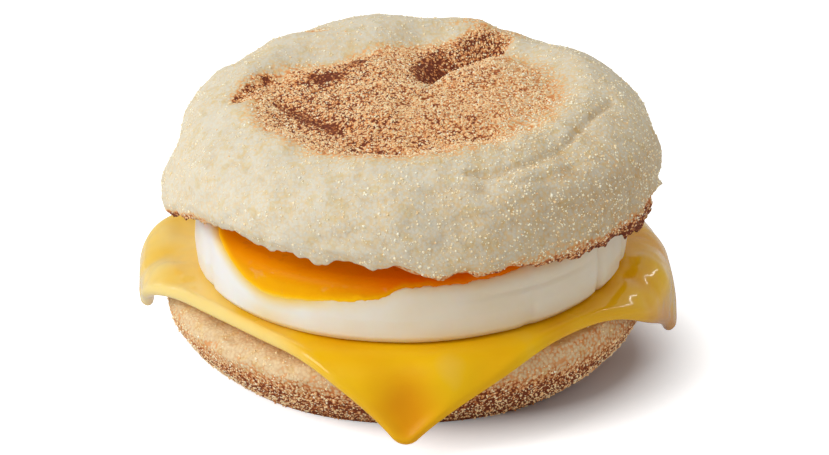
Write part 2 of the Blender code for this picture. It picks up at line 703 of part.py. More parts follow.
def crown():
    """The upper half: a domed skin with a browned dish, tucked in above a torn rim."""
    angle = columns(CROWN_COLUMNS)
    round_radius = CROWN_RADIUS * (1 + CROWN_OUT_OF_ROUND * ragged(angle, CROWN_ROUND_WAVES))
    rim_height = crown_rim(angle) + CROWN_RIM_RAGGED * ragged(angle, CROWN_RIM_WAVES)
    skin = crown_skin(angle, round_radius, rim_height)
    cut = []
    seat = egg_seat() + EGG_THICKNESS + YOLK_PROUD + CROWN_CUT_GAP
    for share in CROWN_CUT_SHARES:
        ring = polar(round_radius * share, angle, 0)
        level = seat + lean(ring[:, 0], ring[:, 1]) + lumpy(ring, CROWN_CUT_LUMPS)
        short = np.clip(crown_rim(angle) - CROWN_CUT_BELOW_RIM - level, 0, None)
        level += short * smooth(*CROWN_CUT_RAISED_SHARES, share)
        mix = smooth(CROWN_CUT_RIM_SHARE, CROWN_CUT_LEVEL_SHARE, share)
        ring[:, 2] = level * mix + (rim_height + CROWN_CUT_RIM_LIFT) * (1 - mix)
        cut.append(ring)
    rings = np.array([*skin, *cut]) + (*STACK_MIDDLE, 0)
    top = rings[0].mean(axis=0)
    mesh = turned_mesh("muffin_crown", top, rings, (*STACK_MIDDLE, seat))
    return finish_object("muffin_crown", mesh, CROWN_COLOUR, BREAD_ROUGHNESS)


def main():
    """Clears the scene and builds the pieces from the table up."""
    for thing in list(bpy.data.objects):
        bpy.data.objects.remove(thing, do_unlink=True)
    heel()
    cheese()
    egg()
    crown()


if __name__ == "__main__":
    main()
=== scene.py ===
"""Looks of a filled breakfast muffin: toasted bread, a griddled egg and a melted slice of cheese.

Each layer is a class that repeats the form of its solid more finely, adds the crumb, creases and
melted edges that the real one shows, and dresses it with its own finish. Metres in the frame of the
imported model, and millimetres where a docstring says so.
"""

import itertools
import logging
import math
import random
from dataclasses import dataclass, field
from enum import Enum

import bpy
import numpy as np
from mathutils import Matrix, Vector


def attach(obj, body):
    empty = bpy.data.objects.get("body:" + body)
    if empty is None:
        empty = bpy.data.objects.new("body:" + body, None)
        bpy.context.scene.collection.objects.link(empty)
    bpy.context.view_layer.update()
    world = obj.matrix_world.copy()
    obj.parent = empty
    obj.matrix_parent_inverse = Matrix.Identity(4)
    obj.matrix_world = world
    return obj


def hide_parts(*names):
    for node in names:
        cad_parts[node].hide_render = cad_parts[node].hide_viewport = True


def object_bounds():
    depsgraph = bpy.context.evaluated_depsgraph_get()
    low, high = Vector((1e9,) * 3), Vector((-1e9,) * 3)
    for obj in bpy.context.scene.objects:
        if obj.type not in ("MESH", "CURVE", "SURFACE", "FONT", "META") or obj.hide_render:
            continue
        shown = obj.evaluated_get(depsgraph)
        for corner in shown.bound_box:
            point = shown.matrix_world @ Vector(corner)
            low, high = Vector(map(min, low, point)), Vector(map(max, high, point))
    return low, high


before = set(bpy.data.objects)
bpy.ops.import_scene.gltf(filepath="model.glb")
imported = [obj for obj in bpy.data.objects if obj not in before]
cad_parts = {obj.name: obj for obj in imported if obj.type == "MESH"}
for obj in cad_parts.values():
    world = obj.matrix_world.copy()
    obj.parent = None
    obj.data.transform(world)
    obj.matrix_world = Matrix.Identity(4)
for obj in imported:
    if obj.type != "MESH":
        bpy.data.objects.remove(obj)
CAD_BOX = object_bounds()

LOG = logging.getLogger("muffin")

MM = 0.001
DEGREE = math.radians(1)
FULL_TURN = 2 * math.pi
QUARTER_TURN = math.pi / 2
FRONT = -QUARTER_TURN
BODY = "root"

Array = np.ndarray
Colour = tuple[float, float, float]
Stops = tuple[tuple[float, Colour], ...]
Socket = bpy.types.NodeSocket
Source = Socket | float | tuple[float, ...]


def linear(red: int, green: int, blue: int) -> Colour:
    """Turns a screen colour of 0 to 255 a channel into a linear one."""
    shares = (channel / 255 for channel in (red, green, blue))
    return tuple(share / 12.92 if share <= 0.04045 else ((share + 0.055) / 1.055) ** 2.4 for share in shares)


def smooth(low: float | Array, high: float | Array, value: float | Array) -> Array:
    """0 below low, 1 above high, and an S curve between them."""
    share = np.clip((value - low) / (high - low), 0, 1)
    return share * share * (3 - 2 * share)


def bell(distance: Array, width: float | Array) -> Array:
    """A bump of height 1 that has fallen to a third at this width."""
    return np.exp(-((distance / width) ** 2))


def turned(angle: Array, middle: float) -> Array:
    """How far an angle lies from the middle, between minus and plus half a turn."""
    return (angle - middle + math.pi) % FULL_TURN - math.pi


def facing(angle: Array, middle: float, width: float) -> Array:
    """A bump of height 1 at the middle angle that has fallen to a third at this width from it."""
    return bell(turned(angle, middle), width)


def angle_of(points: Array) -> Array:
    """Returns the angle of points about the upright axis."""
    return np.arctan2(points[..., 1], points[..., 0])


@dataclass(frozen=True)
class Waves:
    """The waves that make an uneven closed line, and the seed of their draw."""

    lowest: int
    highest: int
    seed: int
    fall: float = 0.5

    def line(self, angle: Array) -> Array:
        """Adds up the waves.

        Args:
            angle: Angles round the piece.

        Returns:
            The line's value at each of them, about -1 to 1.
        """
        draw = random.Random(self.seed)
        line = np.zeros_like(angle)
        power = 0.0
        for wave in range(self.lowest, self.highest + 1):
            size = (self.lowest / wave) ** self.fall
            line = line + size * np.cos(wave * angle + draw.uniform(0, FULL_TURN))
            power += size * size / 2
        return line / (2 * math.sqrt(power))


@dataclass(frozen=True)
class Lumps:
    """Soft lumps of a surface, the same ones that the solid has."""

    height: float
    length: float
    seed: int
    waves: int = 14

    def rise(self, points: Array) -> Array:
        """Adds up the lumps.

        Args:
            points: Places, with x, y, z on the last axis.

        Returns:
            How far the lumps raise each of them.
        """
        draw = random.Random(self.seed)
        total = np.zeros(points.shape[:-1])
        for _ in range(self.waves):
            way = np.array([draw.gauss(0, 1) for _ in range(3)])
            way *= FULL_TURN / (self.length * draw.uniform(0.7, 1.5) * np.linalg.norm(way))
            total += np.cos(points @ way + draw.uniform(0, FULL_TURN))
        return self.height * total / math.sqrt(self.waves * 2)


class GradientNoise:
    """Smooth noise in space, about -1 to 1, drawn from a seed."""

    CELLS = 256
    GAIN = 1.5

    def __init__(self, seed: int) -> None:
        """Draws the noise's own table.

        Args:
            seed: Number that the whole noise depends on.
        """
        draw = np.random.default_rng(seed)
        self.order = draw.permutation(self.CELLS)
        ways = draw.normal(size=(self.CELLS, 3))
        self.ways = ways / np.linalg.norm(ways, axis=1, keepdims=True)

    def single(self, points: Array, length: float) -> Array:
        """Works out one layer of noise.

        Args:
            points: Places, with x, y, z on the last axis.
            length: Size of one cell of the noise.

        Returns:
            One value for each place.
        """
        place = points / length
        cell = np.floor(place).astype(int)
        inside = place - cell
        ease = inside**3 * (inside * (inside * 6 - 15) + 10)
        total = np.zeros(points.shape[:-1])
        for corner in itertools.product((0, 1), repeat=3):
            at = (cell + corner) % self.CELLS
            pick = self.order[at[..., 0]]
            pick = self.order[(pick + at[..., 1]) % self.CELLS]
            pick = self.order[(pick + at[..., 2]) % self.CELLS]
            share = np.prod(np.where(corner, ease, 1 - ease), axis=-1)
            total += share * np.einsum("...i,...i->...", self.ways[pick], inside - corner)
        return total * self.GAIN

    def layered(self, points: Array, length: float, layers: int, fall: float = 0.5) -> Array:
        """Adds up finer and finer layers of noise.

        Args:
            points: Places, with x, y, z on the last axis.
            length: Size of a cell of the coarsest layer.
            layers: How many layers, each half as long as the one before.
            fall: Strength of each layer, as a share of the one before.

        Returns:
            One value for each place, about -1 to 1.
        """
        total = np.zeros(points.shape[:-1])
        strength = 1.0
        whole = 0.0
        for layer in range(layers):
            total += strength * self.single(points + 0.37 * layer * length, length / 2**layer)
            whole += strength
            strength *= fall
        return total / whole


def columns(count: int) -> Array:
    """Returns the angles of the columns of a turned piece, starting at the front."""
    return FRONT + np.arange(count) * FULL_TURN / count


def polar(radius: float | Array, angle: Array, height: float | Array) -> Array:
    """Returns points at these radii, angles and heights, with x, y, z on the last axis."""
    radius, angle, height = np.broadcast_arrays(radius, angle, height)
    return np.stack([radius * np.cos(angle), radius * np.sin(angle), height], axis=-1)


def outward(rings: Array) -> Array:
    """Works out the normals of closed rings.

    Args:
        rings: Rings that run from the top outwards and down.

    Returns:
        One unit normal for each point.
    """
    along = np.roll(rings, -1, axis=1) - np.roll(rings, 1, axis=1)
    normal = np.cross(np.gradient(rings, axis=0), along)
    length = np.linalg.norm(normal, axis=-1, keepdims=True)
    return normal / np.maximum(length, 1e-12)


def grid_faces(index: Array) -> Array:
    """Returns the four corners of each cell of a grid of point numbers."""
    corners = index[:-1, :-1], index[1:, :-1], index[1:, 1:], index[:-1, 1:]
    return np.stack(corners, axis=-1).reshape(-1, 4)


def ring_faces(index: Array) -> Array:
    """Returns the four corners of each cell between closed rings of point numbers."""
    return grid_faces(np.hstack([index, index[:, :1]]))


def even_rows(profile: Array, count: int) -> Array:
    """Spaces rows evenly along each column of a fine profile.

    Args:
        profile: Rings of a fine profile, from the top down.
        count: Number of steps between the first row and the last.

    Returns:
        The rings of the evenly spaced rows, one more than there are steps.
    """
    rows = np.empty((count + 1, *profile.shape[1:]))
    for column in range(profile.shape[1]):
        line = profile[:, column]
        run = np.concatenate([[0], np.cumsum(np.linalg.norm(np.diff(line, axis=0), axis=1))])
        places = np.linspace(0, run[-1], count + 1)
        for axis in range(3):
            rows[:, column, axis] = np.interp(places, run, line[:, axis])
    return rows


@dataclass(frozen=True)
class Line:
    """A line drawn on a surface seen from above, in millimetres."""

    points: tuple[tuple[float, float], ...]

    def near(self, x: Array, y: Array) -> tuple[Array, Array, Array]:
        """Finds where places lie along the line.

        Args:
            x: The places' first coordinate, in metres.
            y: The places' second coordinate, in metres.

        Returns:
            Distance from the line, side (above 0 is left of it) and share along it.
        """
        nearest = np.full(np.shape(x), 1.0)
        side = np.zeros(np.shape(x))
        along = np.zeros(np.shape(x))
        steps = len(self.points) - 1
        for i, (start, end) in enumerate(itertools.pairwise(self.points)):
            run = np.subtract(end, start) * MM
            away = x - start[0] * MM, y - start[1] * MM
            share = np.clip((away[0] * run[0] + away[1] * run[1]) / (run @ run), 0, 1)
            distance = np.hypot(away[0] - share * run[0], away[1] - share * run[1])
            closer = distance < nearest
            nearest = np.where(closer, distance, nearest)
            side = np.where(closer, run[0] * away[1] - run[1] * away[0], side)
            along = np.where(closer, (i + share) / steps, along)
        return nearest, side, along


@dataclass(frozen=True)
class Spot:
    """A soft oval spot on a surface seen from above, in millimetres, with its strength."""

    x: float
    y: float
    strength: float
    width: float
    height: float | None = None
    turn: float = 0.0

    def value(self, x: Array, y: Array) -> Array:
        """Works out the spot.

        Args:
            x: The places' first coordinate, in metres.
            y: The places' second coordinate, in metres.

        Returns:
            The spot's strength at each place.
        """
        dx = x - self.x * MM
        dy = y - self.y * MM
        across = dx * math.cos(self.turn) + dy * math.sin(self.turn)
        up = dy * math.cos(self.turn) - dx * math.sin(self.turn)
        height = self.height or self.width
        return self.strength * bell(np.hypot(across / (self.width * MM), up / (height * MM)), 1)


@dataclass(frozen=True)
class Streak:
    """A groove or a scorched streak along a line seen from above, in millimetres."""

    line: Line
    strength: float
    width: float

    def value(self, x: Array, y: Array) -> Array:
        """Works out the streak, which is narrower towards its ends.

        Args:
            x: The places' first coordinate, in metres.
            y: The places' second coordinate, in metres.

        Returns:
            The streak's strength at each place.
        """
        distance, _, along = self.line.near(x, y)
        ends = smooth(0, 0.15, along) * smooth(1, 0.85, along)
        return self.strength * bell(distance, self.width * MM * (0.4 + 0.6 * ends))


@dataclass(frozen=True)
class Crease:
    """A groove round the side: middle angle, height and depth in millimetres, spread in radians."""

    middle: float
    height: float
    depth: float
    spread: float
    climb: float = 4.0
    width: float = 1.3

    def value(self, angle: Array, height: Array) -> Array:
        """Returns the groove's depth at these places of the side."""
        away = turned(angle, self.middle)
        line = self.height * MM + self.climb * MM * away
        return self.depth * MM * bell(height - line, self.width * MM) * bell(away, self.spread)


@dataclass
class Surface:
    """A closed mesh in the making: its points, its faces and a value at each point by name."""

    points: Array
    faces: list[tuple[int, ...]]
    values: dict[str, Array] = field(default_factory=dict)

    @classmethod
    def turned(cls, top: Array, rings: Array, bottom: Array, values: dict[str, Array]) -> "Surface":
        """Closes a stack of rings with a middle point above and one below.

        Args:
            top: The middle point of the top.
            rings: The rings, from the top out and down.
            bottom: The middle point of the underside.
            values: One value for each point of the rings, by name.

        Returns:
            The closed surface.
        """
        rows, count = rings.shape[:2]
        points = np.concatenate([[top], rings.reshape(-1, 3), [bottom]])
        index = 1 + np.arange(rows * count).reshape(rows, count)
        following = np.roll(index, -1, axis=1)
        last = len(points) - 1
        faces = [(0, int(a), int(b)) for a, b in zip(index[0], following[0])]
        faces += [tuple(face) for face in ring_faces(index).tolist()]
        faces += [(last, int(b), int(a)) for a, b in zip(index[-1], following[-1])]
        spread = {
            name: np.concatenate([[row[0].mean()], row.ravel(), [row[-1].mean()]])
            for name, row in values.items()
        }
        return cls(points, faces, spread)

    @classmethod
    def shell(cls, front: Array, back: Array, faces: Array, values: dict[str, Array]) -> "Surface":
        """Builds a surface of two sides that have the same grid.

        Args:
            front: Grid of points of one side.
            back: Grid of points of the other side.
            faces: Point numbers of each face, with the back's after the front's.
            values: One value for each point of the grid, by name.

        Returns:
            The surface, with only those points that its faces use.
        """
        points = np.concatenate([front.reshape(-1, 3), back.reshape(-1, 3)])
        used = np.unique(faces)
        renumber = np.zeros(len(points), int)
        renumber[used] = np.arange(len(used))
        both = {name: np.tile(value.ravel(), 2)[used] for name, value in values.items()}
        return cls(points[used], [tuple(face) for face in renumber[faces].tolist()], both)

    def piece(self, name: str, material: bpy.types.Material, slot: str, node: str | None = None) -> None:
        """Makes the surface an object of the scene that rides on the part's body.

        Args:
            name: Name of the piece.
            material: Its material.
            slot: The record's material slot; not used.
            node: The solid that it stands for, or None for an extra piece.
        """
        mesh = bpy.data.meshes.new(name)
        kept = np.clip(self.points, CAD_BOX[0], CAD_BOX[1])
        mesh.from_pydata(kept.tolist(), [], self.faces)
        for label, values in self.values.items():
            attribute = mesh.attributes.new(label, "FLOAT", "POINT")
            attribute.data.foreach_set("value", values.astype(np.float32))
        mesh.materials.append(material)
        mesh.shade_smooth()
        thing = add_thing(name, mesh)
        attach(thing, BODY)
        if node:
            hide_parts(node)
        LOG.info("%s: %d triangles", name, sum(len(face) - 2 for face in self.faces))


def add_thing(name: str, data: bpy.types.ID) -> bpy.types.Object:
    """Adds an object with this mesh, light or camera to the scene."""
    thing = bpy.data.objects.new(name, data)
    bpy.context.scene.collection.objects.link(thing)
    return thing


@dataclass(frozen=True)
class Stack:
    """How the layers lie on each other: their lean, their gaps and their heights."""

    rest_gap: float = 0.3 * MM
    rise_to_back: float = 0.040
    rise_to_right: float = 0.029
    middle: tuple[float, float] = (1.6 * MM, -1.6 * MM)
    cut_height: float = 17.8 * MM
    cheese_thickness: float = 2.6 * MM
    egg_thickness: float = 12.6 * MM
    yolk_proud: float = 0.3 * MM
    crown_gap: float = 0.5 * MM

    def lean(self, points: Array) -> Array:
        """Returns how far the layers are raised at these places by their lean."""
        return self.rise_to_back * points[..., 1] + self.rise_to_right * points[..., 0]

    def moved(self, points: Array) -> Array:
        """Returns points of the filling or the crown, moved to where these sit on the heel."""
        return points + (*self.middle, 0)

    @property
    def egg_seat(self) -> float:
        """Height of the egg's lower face at the middle of the stack."""
        return self.cut_height + 3 * self.rest_gap + self.cheese_thickness

    @property
    def egg_top(self) -> float:
        """Height of the egg's upper face at the middle of the stack."""
        return self.egg_seat + self.egg_thickness

    @property
    def crown_seat(self) -> float:
        """Height of the crown's cut face at the middle of the stack."""
        return self.egg_top + self.yolk_proud + self.crown_gap


STACK = Stack()


class NodePlan:
    """A short way to lay out shader nodes in one tree."""

    def __init__(self, tree: bpy.types.NodeTree) -> None:
        """Keeps the tree that the nodes go into."""
        self.tree = tree

    def add(self, kind: str, **settings: object) -> bpy.types.Node:
        """Adds a node.

        Args:
            kind: Blender's name of the node type.
            **settings: Properties of the node to set.

        Returns:
            The new node.
        """
        node = self.tree.nodes.new(kind)
        for name, value in settings.items():
            setattr(node, name, value)
        return node

    def feed(self, source: Source, target: Socket) -> None:
        """Links a socket to the target, or sets the target to a number or a colour."""
        if isinstance(source, Socket):
            self.tree.links.new(source, target)
        else:
            target.default_value = source

    def dress(self, node: bpy.types.Node, inputs: dict[str, Source]) -> bpy.types.Node:
        """Feeds inputs of a node by their names, and returns the node."""
        for name, source in inputs.items():
            self.feed(source, node.inputs[name])
        return node

    def attribute(self, name: str) -> Socket:
        """Returns the value that the mesh holds at each point under this name."""
        return self.add("ShaderNodeAttribute", attribute_name=name).outputs["Fac"]

    def place(self) -> Socket:
        """Returns the place on the object, in metres."""
        return self.add("ShaderNodeTexCoord").outputs["Object"]

    def noise(self, place: Socket, scale: float, detail: float) -> Socket:
        """Returns noise with this many cells to the metre."""
        inputs = {"Scale": scale, "Detail": detail, "Vector": place}
        return self.dress(self.add("ShaderNodeTexNoise"), inputs).outputs["Fac"]

    def math(self, operation: str, first: Source, second: Source, clamp: bool = False) -> Socket:
        """Does sums on values.

        Args:
            operation: Blender's name of the operation.
            first: The first value.
            second: The second value.
            clamp: Keeps the result between 0 and 1.

        Returns:
            The result's socket.
        """
        node = self.add("ShaderNodeMath", operation=operation, use_clamp=clamp)
        self.feed(first, node.inputs[0])
        self.feed(second, node.inputs[1])
        return node.outputs[0]

    def plus(self, first: Source, second: Source, clamp: bool = False) -> Socket:
        """Adds two values."""
        return self.math("ADD", first, second, clamp)

    def minus(self, first: Source, second: Source) -> Socket:
        """Takes the second value from the first."""
        return self.math("SUBTRACT", first, second)

    def times(self, first: Source, second: Source, clamp: bool = False) -> Socket:
        """Multiplies two values."""
        return self.math("MULTIPLY", first, second, clamp)

    def ramp(self, value: Socket, stops: Stops) -> Socket:
        """Turns a value into a colour.

        Args:
            value: The value, 0 to 1.
            stops: Where each colour stands, in rising order.

        Returns:
            The colour's socket.
        """
        node = self.add("ShaderNodeValToRGB")
        band = node.color_ramp
        while len(band.elements) < len(stops):
            band.elements.new(0.5)
        for element, (where, colour) in zip(band.elements, stops):
            element.position = where
            element.color = (*colour, 1)
        self.feed(value, node.inputs["Fac"])
        return node.outputs["Color"]

    def mix(self, share: Source, first: Source, second: Source, blend: str = "MIX") -> Socket:
        """Mixes two colours.

        Args:
            share: How much of the second colour there is.
            first: The first colour.
            second: The second colour.
            blend: Blender's name of the way to mix.

        Returns:
            The mixed colour's socket.
        """
        node = self.add("ShaderNodeMix", data_type="RGBA", blend_type=blend)
        self.feed(share, node.inputs["Factor"])
        for colour, target in ((first, node.inputs[6]), (second, node.inputs[7])):
            self.feed(colour if isinstance(colour, Socket) else (*colour, 1), target)
        return node.outputs[2]

    def swing(self, value: Socket, size: float) -> Socket:
        """Turns noise into a change around zero, half its size each way."""
        return self.times(self.minus(value, 0.5), size)

    def bump(self, height: Socket, strength: float, distance: float) -> Socket:
        """Returns the normal that this height gives."""
        inputs = {"Strength": strength, "Distance": distance, "Height": height}
        return self.dress(self.add("ShaderNodeBump"), inputs).outputs["Normal"]


class Crumb:
    """The shader group that breads share: mottling, yellow blotches, pale grit and a grainy relief.

    Its noises and its grit are given in cells to the metre.
    """

    NAME = "crumb"
    PATCH_NOISE = 300
    FINE_NOISE = 1100
    BLOTCH_NOISE = 420
    GRIT_CELLS = 1500

    @classmethod
    def group(cls) -> bpy.types.NodeTree:
        """Returns the group, which is made on its first use."""
        found = bpy.data.node_groups.get(cls.NAME)
        if found:
            return found
        tree = bpy.data.node_groups.new(cls.NAME, "ShaderNodeTree")
        tree.interface.new_socket("Fineness", in_out="INPUT", socket_type="NodeSocketFloat")
        for label in ("Mottle", "Blotch", "Grit", "Height"):
            tree.interface.new_socket(label, in_out="OUTPUT", socket_type="NodeSocketFloat")
        plan = NodePlan(tree)
        scaled = plan.add("ShaderNodeVectorMath", operation="SCALE")
        plan.feed(plan.place(), scaled.inputs[0])
        plan.feed(plan.add("NodeGroupInput").outputs["Fineness"], scaled.inputs["Scale"])
        place = scaled.outputs["Vector"]
        patches = plan.noise(place, cls.PATCH_NOISE, 3)
        fine = plan.noise(place, cls.FINE_NOISE, 4)
        spots = plan.noise(place, cls.BLOTCH_NOISE, 1)
        cells = plan.dress(plan.add("ShaderNodeTexVoronoi"), {"Scale": cls.GRIT_CELLS, "Vector": place})
        away = cells.outputs["Distance"]
        near = plan.times(plan.minus(0.42, away), 6, clamp=True)
        pits = plan.times(plan.minus(away, 0.46), 4, clamp=True)
        grit = plan.minus(plan.times(near, cells.outputs["Color"]), pits)
        results = {
            "Mottle": plan.plus(plan.times(patches, 0.4), plan.times(fine, 0.6)),
            "Blotch": plan.times(plan.minus(spots, 0.56), 9, clamp=True),
            "Grit": grit,
            "Height": plan.plus(plan.times(fine, 0.9), plan.times(grit, 0.34)),
        }
        plan.dress(plan.add("NodeGroupOutput"), results)
        return tree

    @classmethod
    def use(cls, plan: NodePlan, fineness: float) -> bpy.types.Node:
        """Returns a new node of the group in this plan, with its grain made this much finer."""
        return plan.dress(plan.add("ShaderNodeGroup", node_tree=cls.group()), {"Fineness": fineness})


def principled(name: str) -> tuple[bpy.types.Material, NodePlan, bpy.types.Node]:
    """Makes a material with one Principled shader.

    Args:
        name: The material's name.

    Returns:
        The material, a plan of its nodes, and its shader.
    """
    material = bpy.data.materials.new(name)
    material.use_nodes = True
    return material, NodePlan(material.node_tree), material.node_tree.nodes["Principled BSDF"]


@dataclass(frozen=True)
class BreadFinish:
    """Toasted, floured bread, from pale skin to scorched crust."""

    name: str
    stops: Stops
    fineness: float = 1.0
    roughness: float = 0.85
    mottling: float = 0.70
    flour: float = 0.38
    blotches: float = 0.36
    yellow: Colour = linear(246, 228, 168)
    # Colour of the painted shade in hollows and creases.
    painted_pit_shade: Colour = (0.60, 0.44, 0.28)
    bump_depth: float = 0.34 * MM

    def material(self) -> bpy.types.Material:
        """Returns a material that reads the mesh's toast value and its painted shade value, which darkens
        hollows and creases towards the pit colour.
        """
        material, plan, shader = principled(self.name)
        crumb = Crumb.use(plan, self.fineness)
        toast = plan.attribute("toast")
        browned = plan.plus(plan.times(toast, 2.1), 0.20)
        floured = plan.times(crumb.outputs["Grit"], self.flour)
        swing = plan.swing(crumb.outputs["Mottle"], self.mottling)
        change = plan.times(plan.minus(swing, floured), browned)
        crust = plan.ramp(plan.plus(toast, change, clamp=True), self.stops)
        blotch = plan.times(crumb.outputs["Blotch"], self.blotches)
        crust = plan.mix(blotch, crust, plan.mix(1.0, crust, self.yellow, "MULTIPLY"))
        # Painted shade: the crust is multiplied towards the pit colour where the mesh marks hollows and
        # creases.
        shade = plan.ramp(plan.attribute("cavity"), ((0.0, (1, 1, 1)), (1.0, self.painted_pit_shade)))
        height = plan.times(crumb.outputs["Height"], plan.math("MINIMUM", browned, 1.0))
        inputs = {
            "Base Color": plan.mix(1.0, crust, shade, "MULTIPLY"),
            "Roughness": self.roughness,
            "Specular IOR Level": 0.2,
            "Subsurface Weight": 0.05,
            "Subsurface Radius": (1.0, 0.7, 0.45),
            "Subsurface Scale": 0.8 * MM,
            "Normal": plan.bump(height, 0.9, self.bump_depth),
        }
        plan.dress(shader, inputs)
        return material


@dataclass(frozen=True)
class GrainFinish:
    """Coarse cornmeal, from white through yellow to toasted."""

    name: str
    stops: Stops
    roughness: float = 0.30
    painted_glow: float = 0.16

    def material(self) -> bpy.types.Material:
        """Returns a material that reads each grain's tone, with a painted glow: the grains emit a little of
        their own colour, which lifts their shaded sides in place of light passing through them.
        """
        material, plan, shader = principled(self.name)
        colour = plan.ramp(plan.attribute("tone"), self.stops)
        inputs = {
            "Base Color": colour,
            # Painted light: the emission lifts the grains' shaded sides.
            "Emission Color": colour,
            "Emission Strength": self.painted_glow,
            "Roughness": self.roughness,
        }
        plan.dress(shader, inputs)
        return material


@dataclass(frozen=True)
class CheeseFinish:
    """Soft processed cheese, glossy where it has melted most."""

    name: str = "melted_cheese"
    pale: Colour = linear(255, 226, 140)
    body: Colour = linear(254, 200, 12)
    deep: Colour = linear(236, 158, 0)
    amber: Colour = linear(214, 144, 4)
    rough: float = 0.46
    wet: float = 0.2

    def material(self) -> bpy.types.Material:
        """Returns a material that reads the mesh's melt and gloss values; the melt value holds painted light
        and shade as well as the uneven melting.
        """
        material, plan, shader = principled(self.name)
        place = plan.place()
        melt = plan.plus(plan.attribute("melt"), plan.swing(plan.noise(place, 70, 2), 0.3), clamp=True)
        stops = ((0.0, self.pale), (0.35, self.body), (0.7, self.deep), (1.0, self.amber))
        gloss = plan.attribute("gloss")
        inputs = {
            "Base Color": plan.ramp(melt, stops),
            "Roughness": plan.plus(plan.times(gloss, self.wet - self.rough), self.rough),
            "Specular IOR Level": 0.14,
            "Coat Weight": plan.times(gloss, 0.5),
            "Coat Roughness": 0.04,
            "Subsurface Weight": 0.15,
            "Subsurface Radius": (1.0, 0.75, 0.1),
            "Subsurface Scale": 2 * MM,
            "Normal": plan.bump(plan.noise(place, 420, 2), 0.25, 0.12 * MM),
        }
        plan.dress(shader, inputs)
        return material


@dataclass(frozen=True)
class WhiteFinish:
    """Set egg white, moist, and tinted where yolk lies under it."""

    name: str = "set_egg_white"
    white: Colour = linear(252, 250, 246)
    warm: Colour = linear(240, 224, 190)
    stained: Colour = linear(255, 206, 66)
    roughness: float = 0.34
    unevenness: float = 0.16

    def material(self) -> bpy.types.Material:
        """Returns a material that reads the mesh's stain and warmth values."""
        material, plan, shader = principled(self.name)
        place = plan.place()
        warmth = plan.plus(plan.attribute("warmth"), plan.swing(plan.noise(place, 120, 3), 0.6), clamp=True)
        body = plan.mix(warmth, self.white, self.warm)
        uneven = plan.times(plan.noise(place, 300, 2), self.unevenness)
        inputs = {
            "Base Color": plan.mix(plan.attribute("stain"), body, self.stained),
            "Roughness": plan.plus(self.roughness - self.unevenness / 2, uneven),
            "Subsurface Weight": 0.5,
            "Subsurface Radius": (1.0, 0.75, 0.5),
            "Subsurface Scale": 2.5 * MM,
            "Normal": plan.bump(plan.noise(place, 500, 3), 0.3, 0.1 * MM),
        }
        plan.dress(shader, inputs)
        return material


@dataclass(frozen=True)
class YolkFinish:
    """Soft yolk, wet and deep in colour."""

    name: str = "soft_yolk"
    thin: Colour = linear(255, 216, 96)
    edge: Colour = linear(250, 186, 8)
    body: Colour = linear(228, 150, 0)
    deep: Colour = linear(224, 104, 0)
    roughness: float = 0.35
    painted_glow: float = 0.15

    def material(self) -> bpy.types.Material:
        """Returns a material that reads the mesh's depth value, which holds the yolk's paleness where it is
        thin and painted shade where it lies under the crown, and that glows a little with its own colour as
        painted light.
        """
        material, plan, shader = principled(self.name)
        place = plan.place()
        depth = plan.plus(plan.attribute("depth"), plan.swing(plan.noise(place, 150, 2), 0.16), clamp=True)
        stops = ((0.0, self.thin), (0.14, self.edge), (0.45, self.body), (1.0, self.deep))
        colour = plan.ramp(depth, stops)
        wet = plan.minus(plan.noise(place, 420, 2), 0.61)
        ripple = plan.plus(plan.noise(place, 260, 3), plan.times(plan.noise(place, 1100, 2), 0.4))
        inputs = {
            "Base Color": colour,
            # Painted light: the yolk emits a little of its own colour, which lifts its shaded parts.
            "Emission Color": colour,
            "Emission Strength": self.painted_glow,
            "Roughness": self.roughness,
            "Specular IOR Level": 0.04,
            "Coat Weight": plan.times(wet, 14, clamp=True),
            "Coat Roughness": 0.03,
            "Subsurface Weight": 0.25,
            "Subsurface Radius": (1.0, 0.6, 0.06),
            "Subsurface Scale": 2.5 * MM,
            "Normal": plan.bump(ripple, 0.5, 0.3 * MM),
        }
        plan.dress(shader, inputs)
        return material


class Grain(Enum):
    """Shapes of grain: blunt crystals of cornmeal, and smaller splinters of semolina."""

    CRYSTAL = (
        ((1, 0, 0), (-1, 0, 0), (0, 1, 0), (0, -1, 0), (0, 0, 1), (0, 0, -1)),
        ((0, 2, 4), (2, 1, 4), (1, 3, 4), (3, 0, 4), (2, 0, 5), (1, 2, 5), (3, 1, 5), (0, 3, 5)),
    )
    SPLINTER = (
        ((1, 1, 1), (1, -1, -1), (-1, 1, -1), (-1, -1, 1)),
        ((0, 1, 2), (0, 3, 1), (0, 2, 3), (1, 3, 2)),
    )


